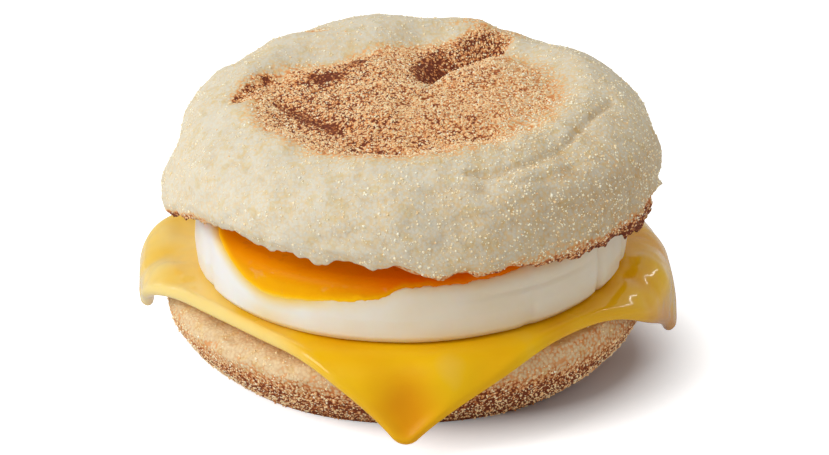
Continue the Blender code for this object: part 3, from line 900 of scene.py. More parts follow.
@dataclass
class Cornmeal:
    """Grains of cornmeal as real crystals, all of one kind in one piece."""

    grain: Grain
    count: int
    smallest: float
    largest: float
    seed: int
    proud: float = 0.12
    small_share: float = 1.7
    stretch: tuple[float, float] = (0.6, 1.15)
    tone_spread: float = 0.16

    def scatter(self, surface: Surface, density: Array, tone: Array) -> Surface:
        """Lays the grains over a surface.

        Args:
            surface: The surface that they lie on.
            density: How thickly they lie at each of its points.
            tone: Their tone at each of its points, 0 pale to 1 toasted.

        Returns:
            The grains as one surface.
        """
        draw = np.random.default_rng(self.seed)
        quads = np.array([face if len(face) == 4 else (*face, face[-1]) for face in surface.faces])
        triangles = np.concatenate([quads[:, [0, 1, 2]], quads[:, [0, 2, 3]]])
        corners = surface.points[triangles]
        cross = np.cross(corners[:, 1] - corners[:, 0], corners[:, 2] - corners[:, 0])
        area = np.linalg.norm(cross, axis=1) / 2
        weight = area * np.clip(density[triangles].mean(axis=1), 0, None)
        chosen = draw.choice(len(triangles), size=self.count, p=weight / weight.sum())
        first, second = draw.random((2, self.count))
        over = first + second > 1
        first = np.where(over, 1 - first, first)[:, None]
        second = np.where(over, 1 - second, second)[:, None]
        picked = corners[chosen]
        middle = picked[:, 0] * (1 - first - second) + picked[:, 1] * first + picked[:, 2] * second
        normal = cross[chosen] / np.maximum(2 * area[chosen], 1e-14)[:, None]
        size = self.smallest + (self.largest - self.smallest) * draw.random(self.count) ** self.small_share
        spin = draw.normal(size=(self.count, 4))
        spin /= np.linalg.norm(spin, axis=1, keepdims=True)
        stretch = draw.uniform(*self.stretch, size=(self.count, 1, 3))
        corner_list, face_list = (np.array(part) for part in self.grain.value)
        shape = corner_list[None] * stretch * size[:, None, None]
        shape = self.turned_by(shape, spin) + (middle + normal * (size * self.proud)[:, None])[:, None]
        each = len(corner_list)
        faces = (face_list[None] + each * np.arange(self.count)[:, None, None]).reshape(-1, 3)
        own_tone = tone[triangles[chosen, 0]] + draw.normal(0, self.tone_spread, self.count)
        values = {"tone": np.repeat(np.clip(own_tone, 0, 1), each)}
        return Surface(shape.reshape(-1, 3), [tuple(face) for face in faces.tolist()], values)

    @staticmethod
    def turned_by(shape: Array, spin: Array) -> Array:
        """Turns each grain by its own quaternion.

        Args:
            shape: Corners of each grain.
            spin: One unit quaternion for each grain.

        Returns:
            The turned corners.
        """
        axis = np.broadcast_to(spin[:, None, 1:], shape.shape)
        cross = np.cross(axis, shape) + spin[:, None, :1] * shape
        return shape + 2 * np.cross(axis, cross)


@dataclass
class Heel:
    """The lower half of the muffin: a flat base, a rounded wall and the open crumb of the cut."""

    radius: float = 47.2 * MM
    base_radius: float = 37.0 * MM
    belly_height: float = 12.0 * MM
    flare: float = 1.7
    flare_ease: float = 0.85
    fuller_right: float = 1.2 * MM
    cut_radius: float = 46.0 * MM
    cut_fall: float = 0.8 * MM
    rim_drop: float = 0.7 * MM
    inset: float = 0.35 * MM
    columns: int = 460
    wall_rows: int = 34
    shoulder_rows: int = 9
    cut_rows: int = 22
    roundness: Waves = Waves(2, 5, 3)
    wall_lumps: Lumps = Lumps(0.5 * MM, 9 * MM, 11)
    rim_waves: Waves = Waves(7, 34, 7)
    edge_waves: Waves = Waves(6, 30, 5)
    torn_waves: Waves = Waves(30, 150, 8)
    cut_lumps: Lumps = Lumps(0.3 * MM, 7 * MM, 9)
    crust: GradientNoise = GradientNoise(71)
    tint: GradientNoise = GradientNoise(72)

    def cut(self, points: Array) -> Array:
        """Returns the height of the cut face, which falls off towards its edge."""
        fall = self.cut_fall * smooth(36 * MM, 46 * MM, np.hypot(points[..., 0], points[..., 1]))
        return STACK.cut_height + STACK.lean(points) - fall

    def rings(self) -> Array:
        """Returns the rings of the form, from the middle of the cut out and down to the base."""
        angle = columns(self.columns)
        out_of_round = 1 + 0.008 * self.roundness.line(angle)
        fuller = self.fuller_right * facing(angle, -0.12, 0.35)
        wall = []
        for row in range(self.wall_rows + 1):
            share = row / self.wall_rows
            swell = (1 - (1 - share) ** self.flare) ** self.flare_ease
            radius = self.base_radius + (self.radius - self.base_radius) * swell
            ring = polar(radius * out_of_round + fuller * share**2, angle, self.belly_height * share)
            wall.append(ring + polar(share * self.wall_lumps.rise(ring), angle, 0))
        edge = self.cut_radius * out_of_round + fuller + 0.4 * MM * self.edge_waves.line(angle)
        rim = polar(edge, angle, 0)
        rim[:, 2] = self.cut(rim) - self.rim_drop
        rim[:, 2] += 0.3 * MM * self.rim_waves.line(angle) + 0.25 * MM * self.torn_waves.line(angle)
        belly = wall[-1]
        shoulder = belly + (rim - belly) * 0.6 + polar(0.4 * MM, angle, 0)
        for share in np.linspace(0.12, 1, self.shoulder_rows):
            wall.append(belly * (1 - share) ** 2 + 2 * share * (1 - share) * shoulder + rim * share**2)
        cut = []
        for share in np.linspace(0.985, 0.08, self.cut_rows):
            ring = polar(edge * share, angle, 0)
            crumb = self.cut_lumps.height + self.cut_lumps.rise(ring)
            ring[:, 2] = self.cut(ring) - crumb
            cut.append(ring)
        base = [polar(self.base_radius * share, angle, 0) for share in (0.96, 0.5)]
        return np.array([*reversed(cut), *reversed(wall), *base])

    def toast(self, rings: Array) -> Array:
        """Works out how brown the wall is, strongest at its foot and at the front right.

        Args:
            rings: The form's rings.

        Returns:
            Browning at each point, 0 for pale to 1 for scorched.
        """
        height = rings[..., 2]
        to_right = facing(angle_of(rings), -0.5, 0.75)
        patches = self.tint.layered(rings, 9 * MM, 3)
        low = smooth(14.5 * MM, 4.5 * MM, height + 2.4 * MM * patches)
        fine = self.tint.layered(rings + 0.6, 2.0 * MM, 2)
        toast = 0.10 + 0.60 * low + 0.12 * patches + 0.14 * to_right + 0.14 * fine
        toast += 0.50 * smooth(12 * MM, 3 * MM, height) * to_right
        spots = self.tint.layered(rings + 0.3, 5 * MM, 2)
        return toast + 0.22 * smooth(0.2, 0.55, spots) * smooth(13 * MM, 5 * MM, height)

    def build(self) -> None:
        """Builds the heel and the cornmeal on its wall."""
        rings = self.rings()
        normal = outward(rings)
        above_table = smooth(0.2 * MM, 1.5 * MM, rings[..., 2])
        pebbles = 0.22 * self.crust.layered(rings, 2.6 * MM, 3, 0.7)
        on_wall = smooth(-0.5, 0.1, 0.6 - normal[..., 2])
        relief = pebbles * on_wall * above_table * MM - self.inset * above_table
        points = rings + normal * relief[..., None]
        points[..., 2] = np.clip(points[..., 2], 0, None)
        toast = np.where(normal[..., 2] > 0.8, 0.12, self.toast(rings))
        top = np.array([0, 0, STACK.cut_height - self.cut_lumps.height - self.inset])
        # Painted shade: the second value darkens the hollows between the wall's pebbles.
        values = {"toast": np.clip(toast, 0, 1), "cavity": np.clip(-3.5 * pebbles, 0, 1) * 0.5}
        surface = Surface.turned(top, points, np.zeros(3), values)
        finish = BreadFinish("toasted_heel", HEEL_STOPS)
        surface.piece("heel_bread", finish.material(), "bread_base", "muffin_heel")
        self.dust(surface)

    def dust(self, surface: Surface) -> None:
        """Lays cornmeal on the wall, thickest a little above the base."""
        height = surface.points[:, 2]
        patches = self.tint.layered(surface.points + 0.7, 6 * MM, 2)
        thick = 0.14 + 0.9 * smooth(15 * MM, 7 * MM, height + 3.5 * MM * patches)
        thick *= 1 - 0.45 * smooth(5 * MM, 1 * MM, height)
        thick *= smooth(-0.1 * MM, 0.4 * MM, height) * smooth(18 * MM, 13 * MM, height)
        to_right = facing(angle_of(surface.points), -0.5, 0.8)
        tone = 0.32 + 0.20 * smooth(8 * MM, 1 * MM, height) + 0.16 * to_right
        kinds = (
            ("heel_cornmeal", Cornmeal(Grain.CRYSTAL, 3000, 0.16 * MM, 0.40 * MM, 81)),
            ("heel_semolina", Cornmeal(Grain.SPLINTER, 5500, 0.10 * MM, 0.22 * MM, 83)),
        )
        for name, meal in kinds:
            meal.scatter(surface, thick, tone).piece(name, CORNMEAL, "bread_base")


@dataclass(frozen=True)
class Pull:
    """How the slice bends differently towards one side of the stack."""

    middle: float
    spread: float
    out: float
    steeper: float
    longer: float


@dataclass
class CheeseSlice:
    """One square slice, melted over the edge of the heel, with a corner hanging at the front."""

    side: float = 92.0 * MM
    corner_radius: float = 4.0 * MM
    edge_radius: float = 44.6 * MM
    bend_radius: float = 5.5 * MM
    middle: tuple[float, float] = (1.2 * MM, 1.4 * MM)
    turn: float = 42.3 * DEGREE
    steepness: float = 62 * DEGREE
    pulls: tuple[Pull, ...] = (
        Pull(180 * DEGREE, 0.5, 1.9 * MM, 28 * DEGREE, 0),
        Pull(160 * DEGREE, 0.32, 3.2 * MM, 0, 0),
        Pull(-4.6 * DEGREE, 0.5, 0.5 * MM, 26 * DEGREE, -0.08),
        Pull(-26 * DEGREE, 0.3, -1.2 * MM, 0, 0.5),
        Pull(FRONT, 0.6, -0.6 * MM, 9 * DEGREE, -0.03),
        Pull(-63 * DEGREE, 0.25, 0, 0, 0.36),
    )
    lift: float = 4.4 * MM
    sway: float = 0.8 * MM
    cells: int = 150
    bead: float = 1.3 * MM
    fullness: float = 0.94
    melt_noise: GradientNoise = GradientNoise(91)

    def rounded(self, across: Array, along: Array) -> tuple[Array, Array]:
        """Moves a square's points in at its four corners, so that they come out round.

        Args:
            across: First coordinate on the flat slice.
            along: Second coordinate on the flat slice.

        Returns:
            Both coordinates, moved.
        """
        straight = self.side / 2 - self.corner_radius
        over = np.clip(np.abs(across) - straight, 0, None), np.clip(np.abs(along) - straight, 0, None)
        reach = np.hypot(*over)
        shrink = np.where(reach > 0, np.maximum(*over) / np.where(reach > 0, reach, 1), 1)
        return (
            np.sign(across) * (np.minimum(np.abs(across), straight) + over[0] * shrink),
            np.sign(along) * (np.minimum(np.abs(along), straight) + over[1] * shrink),
        )

    def plan(self, across: Array, along: Array) -> tuple[Array, Array]:
        """Returns angle and reach, seen from above, of points of the flat slice."""
        x = across * math.cos(self.turn) - along * math.sin(self.turn) + self.middle[0]
        y = across * math.sin(self.turn) + along * math.cos(self.turn) + self.middle[1]
        return np.arctan2(y, x), np.hypot(x, y)

    def draped(self, across: Array, along: Array) -> Array:
        """Bends the slice over the heel's edge.

        Args:
            across: First coordinate on the flat slice.
            along: Second coordinate on the flat slice.

        Returns:
            Where these points come to lie.
        """
        angle, reach = self.plan(across, along)
        edge = self.edge_radius
        steepest = self.steepness
        stretch = 1
        for pull in self.pulls:
            near = facing(angle, pull.middle, pull.spread)
            edge = edge + pull.out * near
            steepest = steepest + pull.steeper * near
            stretch = stretch + pull.longer * near
        past = np.clip(reach - edge, 0, None) * stretch
        bend = np.minimum(past / self.bend_radius, steepest)
        hang = past - bend * self.bend_radius
        radius = np.minimum(reach, edge) + self.bend_radius * np.sin(bend) + hang * np.cos(bend)
        drop = self.bend_radius * (1 - np.cos(bend)) + hang * np.sin(bend)
        lift = self.lift * facing(angle, 150 * DEGREE, 0.38) * smooth(-4 * MM, 7 * MM, reach - edge)
        radius = radius + self.sway * np.sin(9 * angle + 1.0) * smooth(4 * MM, 18 * MM, past)
        points = polar(radius, angle, 0)
        seat = STACK.cut_height + 2 * STACK.rest_gap + STACK.cheese_thickness / 2 + STACK.lean(points)
        points[..., 2] = seat - drop + lift
        return STACK.moved(points)

    def relief(self, across: Array, along: Array) -> Array:
        """Works out the soft humps and valleys of the flaps.

        Args:
            across: First coordinate on the flat slice.
            along: Second coordinate on the flat slice.

        Returns:
            How far melting has raised the upper side there.
        """
        angle, reach = self.plan(across, along)
        x = reach * np.cos(angle) / MM
        y = reach * np.sin(angle) / MM
        hump = 0.9 * bell(np.hypot(x - 5, (y + 47.5) * 0.9), 5)
        valley = 1.1 * bell(np.hypot((x + 1 + 0.12 * (y + 54)) / 0.8, y + 55), 6.5)
        ridge = 0.5 * bell(np.hypot((x - 9) / 0.8, y + 55), 6)
        left = 0.5 * bell(np.hypot(x + 47, y + 6), 4) - 0.6 * bell(np.hypot(x + 49, y - 3), 4)
        left += 0.3 * bell(np.hypot(x + 45, y + 17), 5)
        right = 0.5 * bell(np.hypot(x - 46, y + 7), 4) - 0.5 * bell(np.hypot(x - 49, y - 1), 4)
        right -= 0.5 * bell(np.hypot((x - 43) / 1.6, y + 14), 2.2)
        return MM * (hump - valley + ridge + left + right)

    def build(self) -> None:
        """Builds the slice with rounded edges."""
        half = self.side / 2
        inner = np.linspace(-(half - self.bead), half - self.bead, self.cells)
        border = half - self.bead + self.bead * np.sin(np.linspace(0, QUARTER_TURN, 7)[1:])
        place = np.concatenate([-border[::-1], inner, border])
        across, along = np.meshgrid(place, place, indexing="ij")
        inside = np.minimum(half - np.abs(across), half - np.abs(along))
        flat = self.rounded(across, along)
        middle = self.draped(*flat)
        step = 0.2 * MM
        steps = self.draped(flat[0] + step, flat[1]) - middle, self.draped(flat[0], flat[1] + step) - middle
        normal = np.cross(*steps)
        normal /= np.linalg.norm(normal, axis=-1, keepdims=True)
        share = np.clip(inside / self.bead, 0, 1)
        thickness = STACK.cheese_thickness / 2 * np.sqrt(np.clip(1 - (1 - share) ** 2, 0, 1))
        angle, reach = self.plan(*flat)
        to_sides = np.abs(np.cos(angle)) ** 2
        wobble = (0.08 + 0.28 * to_sides) * MM * self.melt_noise.layered(middle + 0.5, 5 * MM, 2)
        raised = (self.relief(*flat) + wobble) * smooth(0, 3 * MM, inside)
        hanging = smooth(40 * MM, 48 * MM, reach)
        lip = 0.2 * MM * bell(inside - 1.2 * MM, 0.7 * MM)
        upper = middle + normal * (self.fullness * thickness + hanging * raised + lip)[..., None]
        lower = middle - normal * (self.fullness * thickness - hanging * raised * 0.8)[..., None]
        values = self.values(angle, inside, hanging, raised, self.melt_noise.layered(middle, 12 * MM, 2))
        surface = Surface.shell(upper, lower, self.faces(len(place)), values)
        surface.piece("melted_slice", CheeseFinish().material(), "cheese", "cheese_slice")

    @staticmethod
    def values(angle: Array, inside: Array, hanging: Array, raised: Array, melt: Array) -> dict[str, Array]:
        """Works out how deep in colour and how glossy the slice is; the colour holds painted light and shade
        as well as uneven melting.

        Args:
            angle: Angle of each point, seen from above.
            inside: Its distance from the slice's border.
            hanging: 0 on the heel to 1 on the flaps.
            raised: How far melting has raised it.
            melt: Uneven melting, about -1 to 1.

        Returns:
            The melt and gloss values of each point.
        """
        aside = np.cos(angle)
        # Painted light and shade: the flaps are paler on their raised humps and deeper in colour in their
        # valleys, and a painted highlight makes a paler band along the front-left border.
        left_border = smooth(2.5 * MM, 0, inside) * smooth(0.2, 0.9, -aside)
        value = 0.40 + 0.16 * melt - 0.19 * hanging * raised / MM - 0.30 * left_border
        value += 0.30 * smooth(4 * MM, 0.5 * MM, inside) * smooth(0.85, 1, aside)
        value += 0.05 * facing(angle, FRONT, 0.22) * hanging
        value += 0.07 * smooth(0.45, 0.95, aside) - 0.22 * smooth(0.3, 1, -aside)
        border = smooth(3 * MM, 1 * MM, inside) * smooth(-0.1, 0.3, -aside)
        gloss = np.maximum(smooth(0.35, 0.9, np.abs(aside)), border)
        return {"melt": np.clip(value, 0, 1), "gloss": gloss}

    @staticmethod
    def faces(rows: int) -> Array:
        """Joins the slice's two sides along their border.

        Args:
            rows: Number of points along each side of the grid.

        Returns:
            Point numbers of each face.
        """
        index = np.arange(rows * rows).reshape(rows, rows)
        under = index + rows * rows
        rim = np.concatenate([index[:-1, 0], index[-1, :-1], index[:0:-1, -1], index[0, :0:-1]])
        under.ravel()[rim] = rim
        return np.concatenate([grid_faces(index), grid_faces(under)[:, ::-1]])


@dataclass
class Egg:
    """A ring-set egg: its white, and the soft yolk that lies open along the front.

    A crease is given by its middle angle, its depth in millimetres and its spread in radians.
    """

    radius: float = 42.6 * MM
    shoulder: float = 3.0 * MM
    columns: int = 420
    roundness: Waves = Waves(2, 6, 21)
    creases: tuple[tuple[float, float, float], ...] = (
        (-0.56, 1.1, 0.026),
        (-0.27, 0.8, 0.03),
        (-2.75, 0.5, 0.035),
        (-1.02, 0.35, 0.03),
    )
    pool_middle: tuple[float, float] = (-6.0 * MM, -17.0 * MM)
    pool_left: float = 31.8 * MM
    pool_right: float = 38.0 * MM
    pool_length: float = 29.0 * MM
    pool_depth: float = 11.0 * MM
    pool_waves: Waves = Waves(2, 9, 31)
    yolk_thickness: float = 3.2 * MM
    skin: GradientNoise = GradientNoise(51)

    def rings(self) -> Array:
        """Returns the rings of the drum, from the middle of its top down and under."""
        angle = columns(self.columns)
        radius = self.radius * (1 + 0.006 * self.roundness.line(angle))
        for middle, depth, spread in self.creases:
            radius = radius - depth * MM * facing(angle, middle, spread)
        top = STACK.egg_top
        seat = STACK.egg_seat
        rings = [polar((radius - self.shoulder) * share, angle, top) for share in np.linspace(0.3, 0.985, 30)]
        for turn in np.linspace(0, QUARTER_TURN, 16):
            inset = self.shoulder * (1 - math.sin(turn))
            rings.append(polar(radius - inset, angle, top - self.shoulder * (1 - math.cos(turn))))
        wall_heights = (STACK.egg_thickness - self.shoulder, 5 * MM, 1.2 * MM, 0)
        wall_out = (0, 0.2 * MM, -0.2 * MM, -1.2 * MM)
        for height in np.linspace(wall_heights[0], 0, 26)[1:]:
            out = np.interp(height, wall_heights[::-1], wall_out[::-1])
            rings.append(polar(radius + out, angle, seat + height))
        rings += [polar(radius * share, angle, seat) for share in (0.92, 0.5)]
        rings = np.array(rings)
        rings[..., 2] += STACK.lean(rings)
        return rings

    def inside_pool(self, points: Array) -> Array:
        """Measures the yolk's pool.

        Args:
            points: Places on the drum.

        Returns:
            How far each lies inside the pool, in metres, below 0 outside it.
        """
        x, y, z = points[..., 0], points[..., 1], points[..., 2]
        dx = x - self.pool_middle[0]
        dy = y - self.pool_middle[1]
        half = np.where(dx > 0, self.pool_right, self.pool_left)
        wander = 1 + 0.025 * self.pool_waves.line(np.arctan2(dy / self.pool_length, dx / half))
        depth = self.pool_depth + 4.0 * MM * bell(x + 29 * MM, 9 * MM)
        depth = depth - 4.1 * MM * smooth(-6 * MM, -1.5 * MM, x)
        dz = z - (STACK.egg_top + 1.5 * MM + STACK.lean(points))
        scaled = dx / (half * wander), dy / (self.pool_length * wander), dz / depth
        reach = np.sqrt(sum(part * part for part in scaled))
        slope = np.sqrt(
            (scaled[0] / half) ** 2 + (scaled[1] / self.pool_length) ** 2 + (scaled[2] / depth) ** 2
        )
        return (1 - reach) * reach / np.maximum(slope, 1e-6)

    def build(self) -> None:
        """Builds the white, and the yolk that fills the hollow in its front."""
        rings = self.rings()
        normal = outward(rings)
        angle = angle_of(rings)
        ragged = 0.45 * MM * self.skin.layered(rings, 2.4 * MM, 3, 0.7)
        torn = smooth(-24 * MM, -10 * MM, rings[..., 0])
        deep = self.inside_pool(rings) + ragged * (0.35 + 1.7 * torn)
        film = 0.10 * MM * self.skin.layered(rings + 0.2, 4 * MM, 3)
        bulge = 0.12 * MM * self.skin.single(rings + 0.4, 14 * MM)
        hollow = 0.75 * MM * smooth(0.1 * MM, 1.2 * MM, deep)
        above = rings[..., 2] - STACK.egg_seat - STACK.lean(rings)
        wander = 0.4 * MM * self.skin.single(rings, 9 * MM)
        ledge = bell(above - STACK.egg_thickness + 4.2 * MM + wander, 0.45 * MM)
        seam = 0.35 * MM * ledge * facing(angle, -0.98, 0.32)
        white = STACK.moved(rings + normal * (film + bulge - hollow - seam - 0.05 * MM)[..., None])
        low = smooth(4 * MM, 0, above)
        warmth = 0.04 + 0.72 * smooth(-2.5, -1.2, turned(angle, 0)) * smooth(2.6, 1.2, angle) + 0.15 * low
        soft = smooth(-2.2 * MM, 0.7 * MM, deep) * (1 - 0.7 * torn)
        soft += 0.45 * facing(angle, -2.28, 0.13) * bell(above - 1.5 * MM, 3 * MM)
        values = {"warmth": np.clip(warmth, 0, 1), "stain": np.clip(soft, 0, 1)}
        top = STACK.moved(np.array([0, 0, STACK.egg_top - 0.05 * MM]))
        bottom = STACK.moved(np.array([0, 0, STACK.egg_seat]))
        surface = Surface.turned(top, white, bottom, values)
        surface.piece("set_white", WhiteFinish().material(), "egg_white", "egg_white")
        self.build_yolk(rings, normal, deep)

    def build_yolk(self, rings: Array, normal: Array, deep: Array) -> None:
        """Builds the yolk as a closed body that shows only inside the pool.

        Args:
            rings: The drum's rings.
            normal: Their outward normals.
            deep: How far each point lies inside the pool.
        """
        wobble = 0.10 * MM * self.skin.layered(rings + 0.6, 5 * MM, 2)
        rise = -0.9 * MM + 0.97 * MM * smooth(-0.7 * MM, 0.5 * MM, deep) + wobble * smooth(0, 1.5 * MM, deep)
        front = STACK.moved(rings + normal * rise[..., None])
        back = STACK.moved(rings - normal * self.yolk_thickness)
        kept = deep > -1.1 * MM
        below = deep.size
        sides = ring_faces(np.arange(below).reshape(deep.shape))
        sides = sides[kept.ravel()[sides].all(axis=1)]
        edges = np.concatenate([sides[:, [i, (i + 1) % 4]] for i in range(4)])
        pairs = set(map(tuple, edges.tolist()))
        walls = [(b, a, a + below, b + below) for a, b in pairs if (b, a) not in pairs]
        faces = np.concatenate([sides, sides[:, ::-1] + below, walls])
        height = rings[..., 2] - STACK.egg_top - STACK.lean(rings)
        to_right = smooth(-22 * MM, 8 * MM, rings[..., 0])
        # Painted shade: the colour deepens towards the yolk's top and its right, where it lies in the crown's
        # shade; the pale thin edge at the front and left is its own colour.
        tone = 0.32 + 0.30 * smooth(-4 * MM, 0.2 * MM, height) + 0.45 * to_right
        tone = tone * np.maximum(smooth(-0.3 * MM, 1.8 * MM, deep), 0.85 * to_right)
        surface = Surface.shell(front, back, faces, {"depth": np.clip(tone, 0, 1)})
        surface.piece("soft_yolk", YolkFinish().material(), "egg_yolk", "egg_yolk")


@dataclass
class Crown:
    """The upper half of the muffin: a floured dome with a browned dish, over a torn lower edge."""

    radius: float = 48.8 * MM
    crest_height: float = 59.5 * MM
    rise_to_right: float = 0.066
    rise_to_back: float = 0.045
    belly_rise: float = 3.4 * MM
    cut_height: float = 35.0 * MM
    tuck: float = 2.0 * MM
    dish_radius: float = 31.0 * MM
    dish_depth: float = 3.0 * MM
    inset: float = 0.35 * MM
    columns: int = 520
    skin_rows: int = 168
    tuck_rows: int = 9
    profile_rows: int = 400
    roundness: Waves = Waves(2, 5, 43)
    rim_waves: Waves = Waves(6, 44, 45)
    torn_waves: Waves = Waves(24, 120, 46, 0.5)
    dish_waves: Waves = Waves(2, 7, 41)
    lumps: tuple[Lumps, ...] = (Lumps(0.55 * MM, 15 * MM, 47), Lumps(0.25 * MM, 7 * MM, 48))
    cut_lumps: Lumps = Lumps(0.15 * MM, 7 * MM, 49)
    fold: Line = Line(((-1, -3), (2.5, 3), (5, 8.5), (7.5, 13), (12.5, 16.5), (17, 21), (20.5, 27.5)))
    swells: tuple[Spot, ...] = (
        Spot(10, 31.5, 0.7, 7),
        Spot(11, 23, 1.2, 5),
        Spot(-27, 24, 2.1, 9),
        Spot(-9, 38, 2.6, 16),
        Spot(33, 27, -1.2, 12),
        Spot(-38, 8, 1.8, 11),
        Spot(-21, 9, 0.7, 4.5),
    )
    dents: tuple[Streak, ...] = (
        Streak(Line(((-33.8, -0.5), (-31.6, 4), (-27, 10.5))), 1.1, 1.8),
        Streak(Line(((-26, -1.5), (-20.5, -9.7), (-13, -18))), 0.8, 2.2),
        Streak(Line(((-10, -27), (-1.5, -31.5))), 0.8, 2.2),
        Streak(Line(((13, -38.5), (22, -34), (27.5, -29))), 0.7, 2.2),
        Streak(Line(((31.5, -21), (35, -14.5), (38.5, -7))), 0.6, 2.2),
    )
    wrinkles: tuple[Streak, ...] = (
        Streak(Line(((10, -39), (15.5, -38), (22, -34.3), (27.8, -28.8), (30.6, -24.4))), 0.7, 0.6),
        Streak(Line(((29.5, -25.5), (32.5, -20), (35.6, -13.8), (38.6, -7))), 0.7, 0.6),
        Streak(Line(((17, -41), (24, -37), (30, -32))), 0.35, 0.6),
        Streak(Line(((2, -43), (8, -42), (14, -41.5))), 0.4, 0.7),
        Streak(Line(((27, -36), (31, -31), (36, -27))), 0.3, 0.6),
    )
    creases: tuple[Crease, ...] = (
        Crease(math.pi, 42.0, 1.6, 0.6, 0.0, 5.0),
        Crease(-0.2, 36.0, 2.4, 0.24, 0.0, 1.8),
        Crease(-0.72, 45.5, 0.7, 0.35),
        Crease(-1.25, 47.0, 0.35, 0.25, 6.0, 0.9),
        Crease(-0.5, 41.0, 0.35, 0.3, -5.0, 0.8),
        Crease(-0.17, 35.2, 2.4, 0.16, -14.0, 1.0),
        Crease(-0.13, 37.9, -1.4, 0.09, -14.0, 0.8),
    )
    scorches: tuple[Spot | Streak, ...] = (
        Spot(-17.4, 7.2, 0.55, 3.6, 2.1),
        Spot(-10.4, 12.4, 0.46, 2.4, 3.4, 0.3),
        Spot(-22.5, 11.0, 0.36, 1.8, 1.2),
        Spot(-26.8, 8.5, 0.40, 1.8, 1.1),
        Spot(-19.3, 27.8, 0.40, 2.8, 1.1),
        Spot(15, 33, 0.42, 7, 1.8, 0.5),
        Spot(20, 29, 0.22, 4),
        Spot(-14, -8, 0.16, 6, 3),
        Streak(Line(((-26, -1.5), (-23.6, -4.9), (-20.5, -9.7), (-16.5, -15), (-13, -18))), 0.58, 1.6),
        Streak(Line(((-11, -26.5), (-5.5, -29), (-0.5, -31.5))), 0.52, 1.3),
        Streak(Line(((1.5, 6), (3.5, 12), (4.5, 19))), 0.28, 2.4),
        Streak(Line(((-34.2, -1.5), (-31.8, 4), (-28, 9.5))), 0.62, 2.3),
        Streak(Line(((-29.5, 8.5), (-24, 12.5), (-18, 15))), 0.22, 2.2),
    )
    crust: GradientNoise = GradientNoise(61)
    tint: GradientNoise = GradientNoise(62)

    def rim(self, angle: Array) -> Array:
        """Works out the lower edge, which droops at both sides and is heaved up at the front left.

        Args:
            angle: Angles round the crown.

        Returns:
            The edge's height at each of them.
        """
        aside = np.cos(angle)
        droop = 5.0 * MM * np.abs(aside) ** np.where(aside < 0, 20, 9)
        closed_back = 1.6 * MM * facing(angle, -FRONT, 0.9)
        place = turned(angle, 0)
        heaved = 1.9 * MM * smooth(-2.85, -2.6, place) * smooth(-1.54, -1.68, place)
        return self.cut_height + heaved - droop - closed_back - 0.4 * MM * aside

    def dish_edge(self, angle: Array) -> Array:
        """Returns the dish's radius at each angle."""
        edge = self.dish_radius + 1.2 * MM * self.dish_waves.line(angle)
        return edge - 9.0 * MM * facing(angle, 108 * DEGREE, 0.6)

    def relief(self, points: Array) -> Array:
        """Adds up the dish, fold, swells, dents and creases.

        Args:
            points: Places on the plain form.

        Returns:
            How far the skin stands out at each of them.
        """
        x, y, height = points[..., 0], points[..., 1], points[..., 2]
        angle = np.arctan2(y, x)
        edge = self.dish_edge(angle)
        relief = -self.dish_depth * (1 - smooth(edge - 4 * MM, edge + 4.5 * MM, np.hypot(x, y)))
        distance, side, along = self.fold.near(x, y)
        ends = smooth(0, 0.4, along) * smooth(1.0, 0.78, along)
        width = np.where(side > 0, (2.8 + 1.6 * along) * MM, 1.6 * MM)
        relief -= 4.0 * MM * bell(distance, width) * ends
        relief -= np.where(side > 0, 0, 0.8 * MM * bell(distance, 6 * MM) * ends)
        for swell in self.swells:
            relief += MM * swell.value(x, y)
        for dent in (*self.dents, *self.wrinkles):
            distance, _, _ = dent.line.near(x, y)
            relief -= dent.strength * MM * bell(distance, dent.width * MM)
        for crease in self.creases:
            relief -= crease.value(angle, height)
        return relief

    def rings(self) -> tuple[Array, int]:
        """Builds the form.

        Returns:
            The rings from next to the crest out, down and under, and how many of them are skin.
        """
        angle = columns(self.columns)
        round_radius = self.radius * (1 + 0.006 * self.roundness.line(angle))
        torn_right = 1 + 0.9 * facing(angle, -0.35, 0.35)
        ragged = 0.7 * MM * torn_right * self.rim_waves.line(angle) + 0.32 * MM * self.torn_waves.line(angle)
        rim_height = self.rim(angle) + ragged
        to_right = facing(angle, 0, 0.5)
        belly = self.rim(angle) + self.belly_rise + 3.6 * MM * to_right
        squareness = 0.62 + 0.09 * facing(angle, math.pi, 0.9)
        profile = []
        for turn in np.linspace(0, QUARTER_TURN, self.profile_rows):
            ring = polar(round_radius * math.sin(turn) ** 0.86, angle, 0)
            crest = self.crest_height + self.rise_to_right * ring[:, 0] + self.rise_to_back * ring[:, 1]
            ring[:, 2] = belly + (crest - belly) * math.cos(turn) ** squareness
            profile.append(ring)
        skin = list(even_rows(np.array(profile), self.skin_rows)[1:])
        tuck = self.tuck + 1.2 * MM * to_right
        for share in np.linspace(0, 1, self.tuck_rows + 1)[1:]:
            height = belly + (rim_height - belly) * share
            skin.append(polar(round_radius - tuck * share**1.8, angle, height))
        skin = np.array(skin)
        relief = self.relief(skin) + sum(lumps.rise(skin) for lumps in self.lumps)
        for row, share in ((-1, 0.4), (-2, 0.6), (-3, 0.8)):
            relief[row] *= share
        skin = skin + outward(skin) * relief[..., None]
        cut = []
        for share in (0.945, 0.93, 0.91, 0.87, 0.8, 0.7, 0.5, 0.25):
            ring = polar(round_radius * share, angle, 0)
            level = STACK.crown_seat + STACK.lean(ring) + self.cut_lumps.rise(ring)
            short = np.clip(self.rim(angle) - 1.5 * MM - level, 0, None)
            level += short * smooth(0.5, 0.87, share)
            mix = smooth(0.955, 0.875, share)
            ring[:, 2] = level * mix + (rim_height + 0.6 * MM) * (1 - mix)
            cut.append(ring)
        return np.array([*skin, *cut]), len(skin)

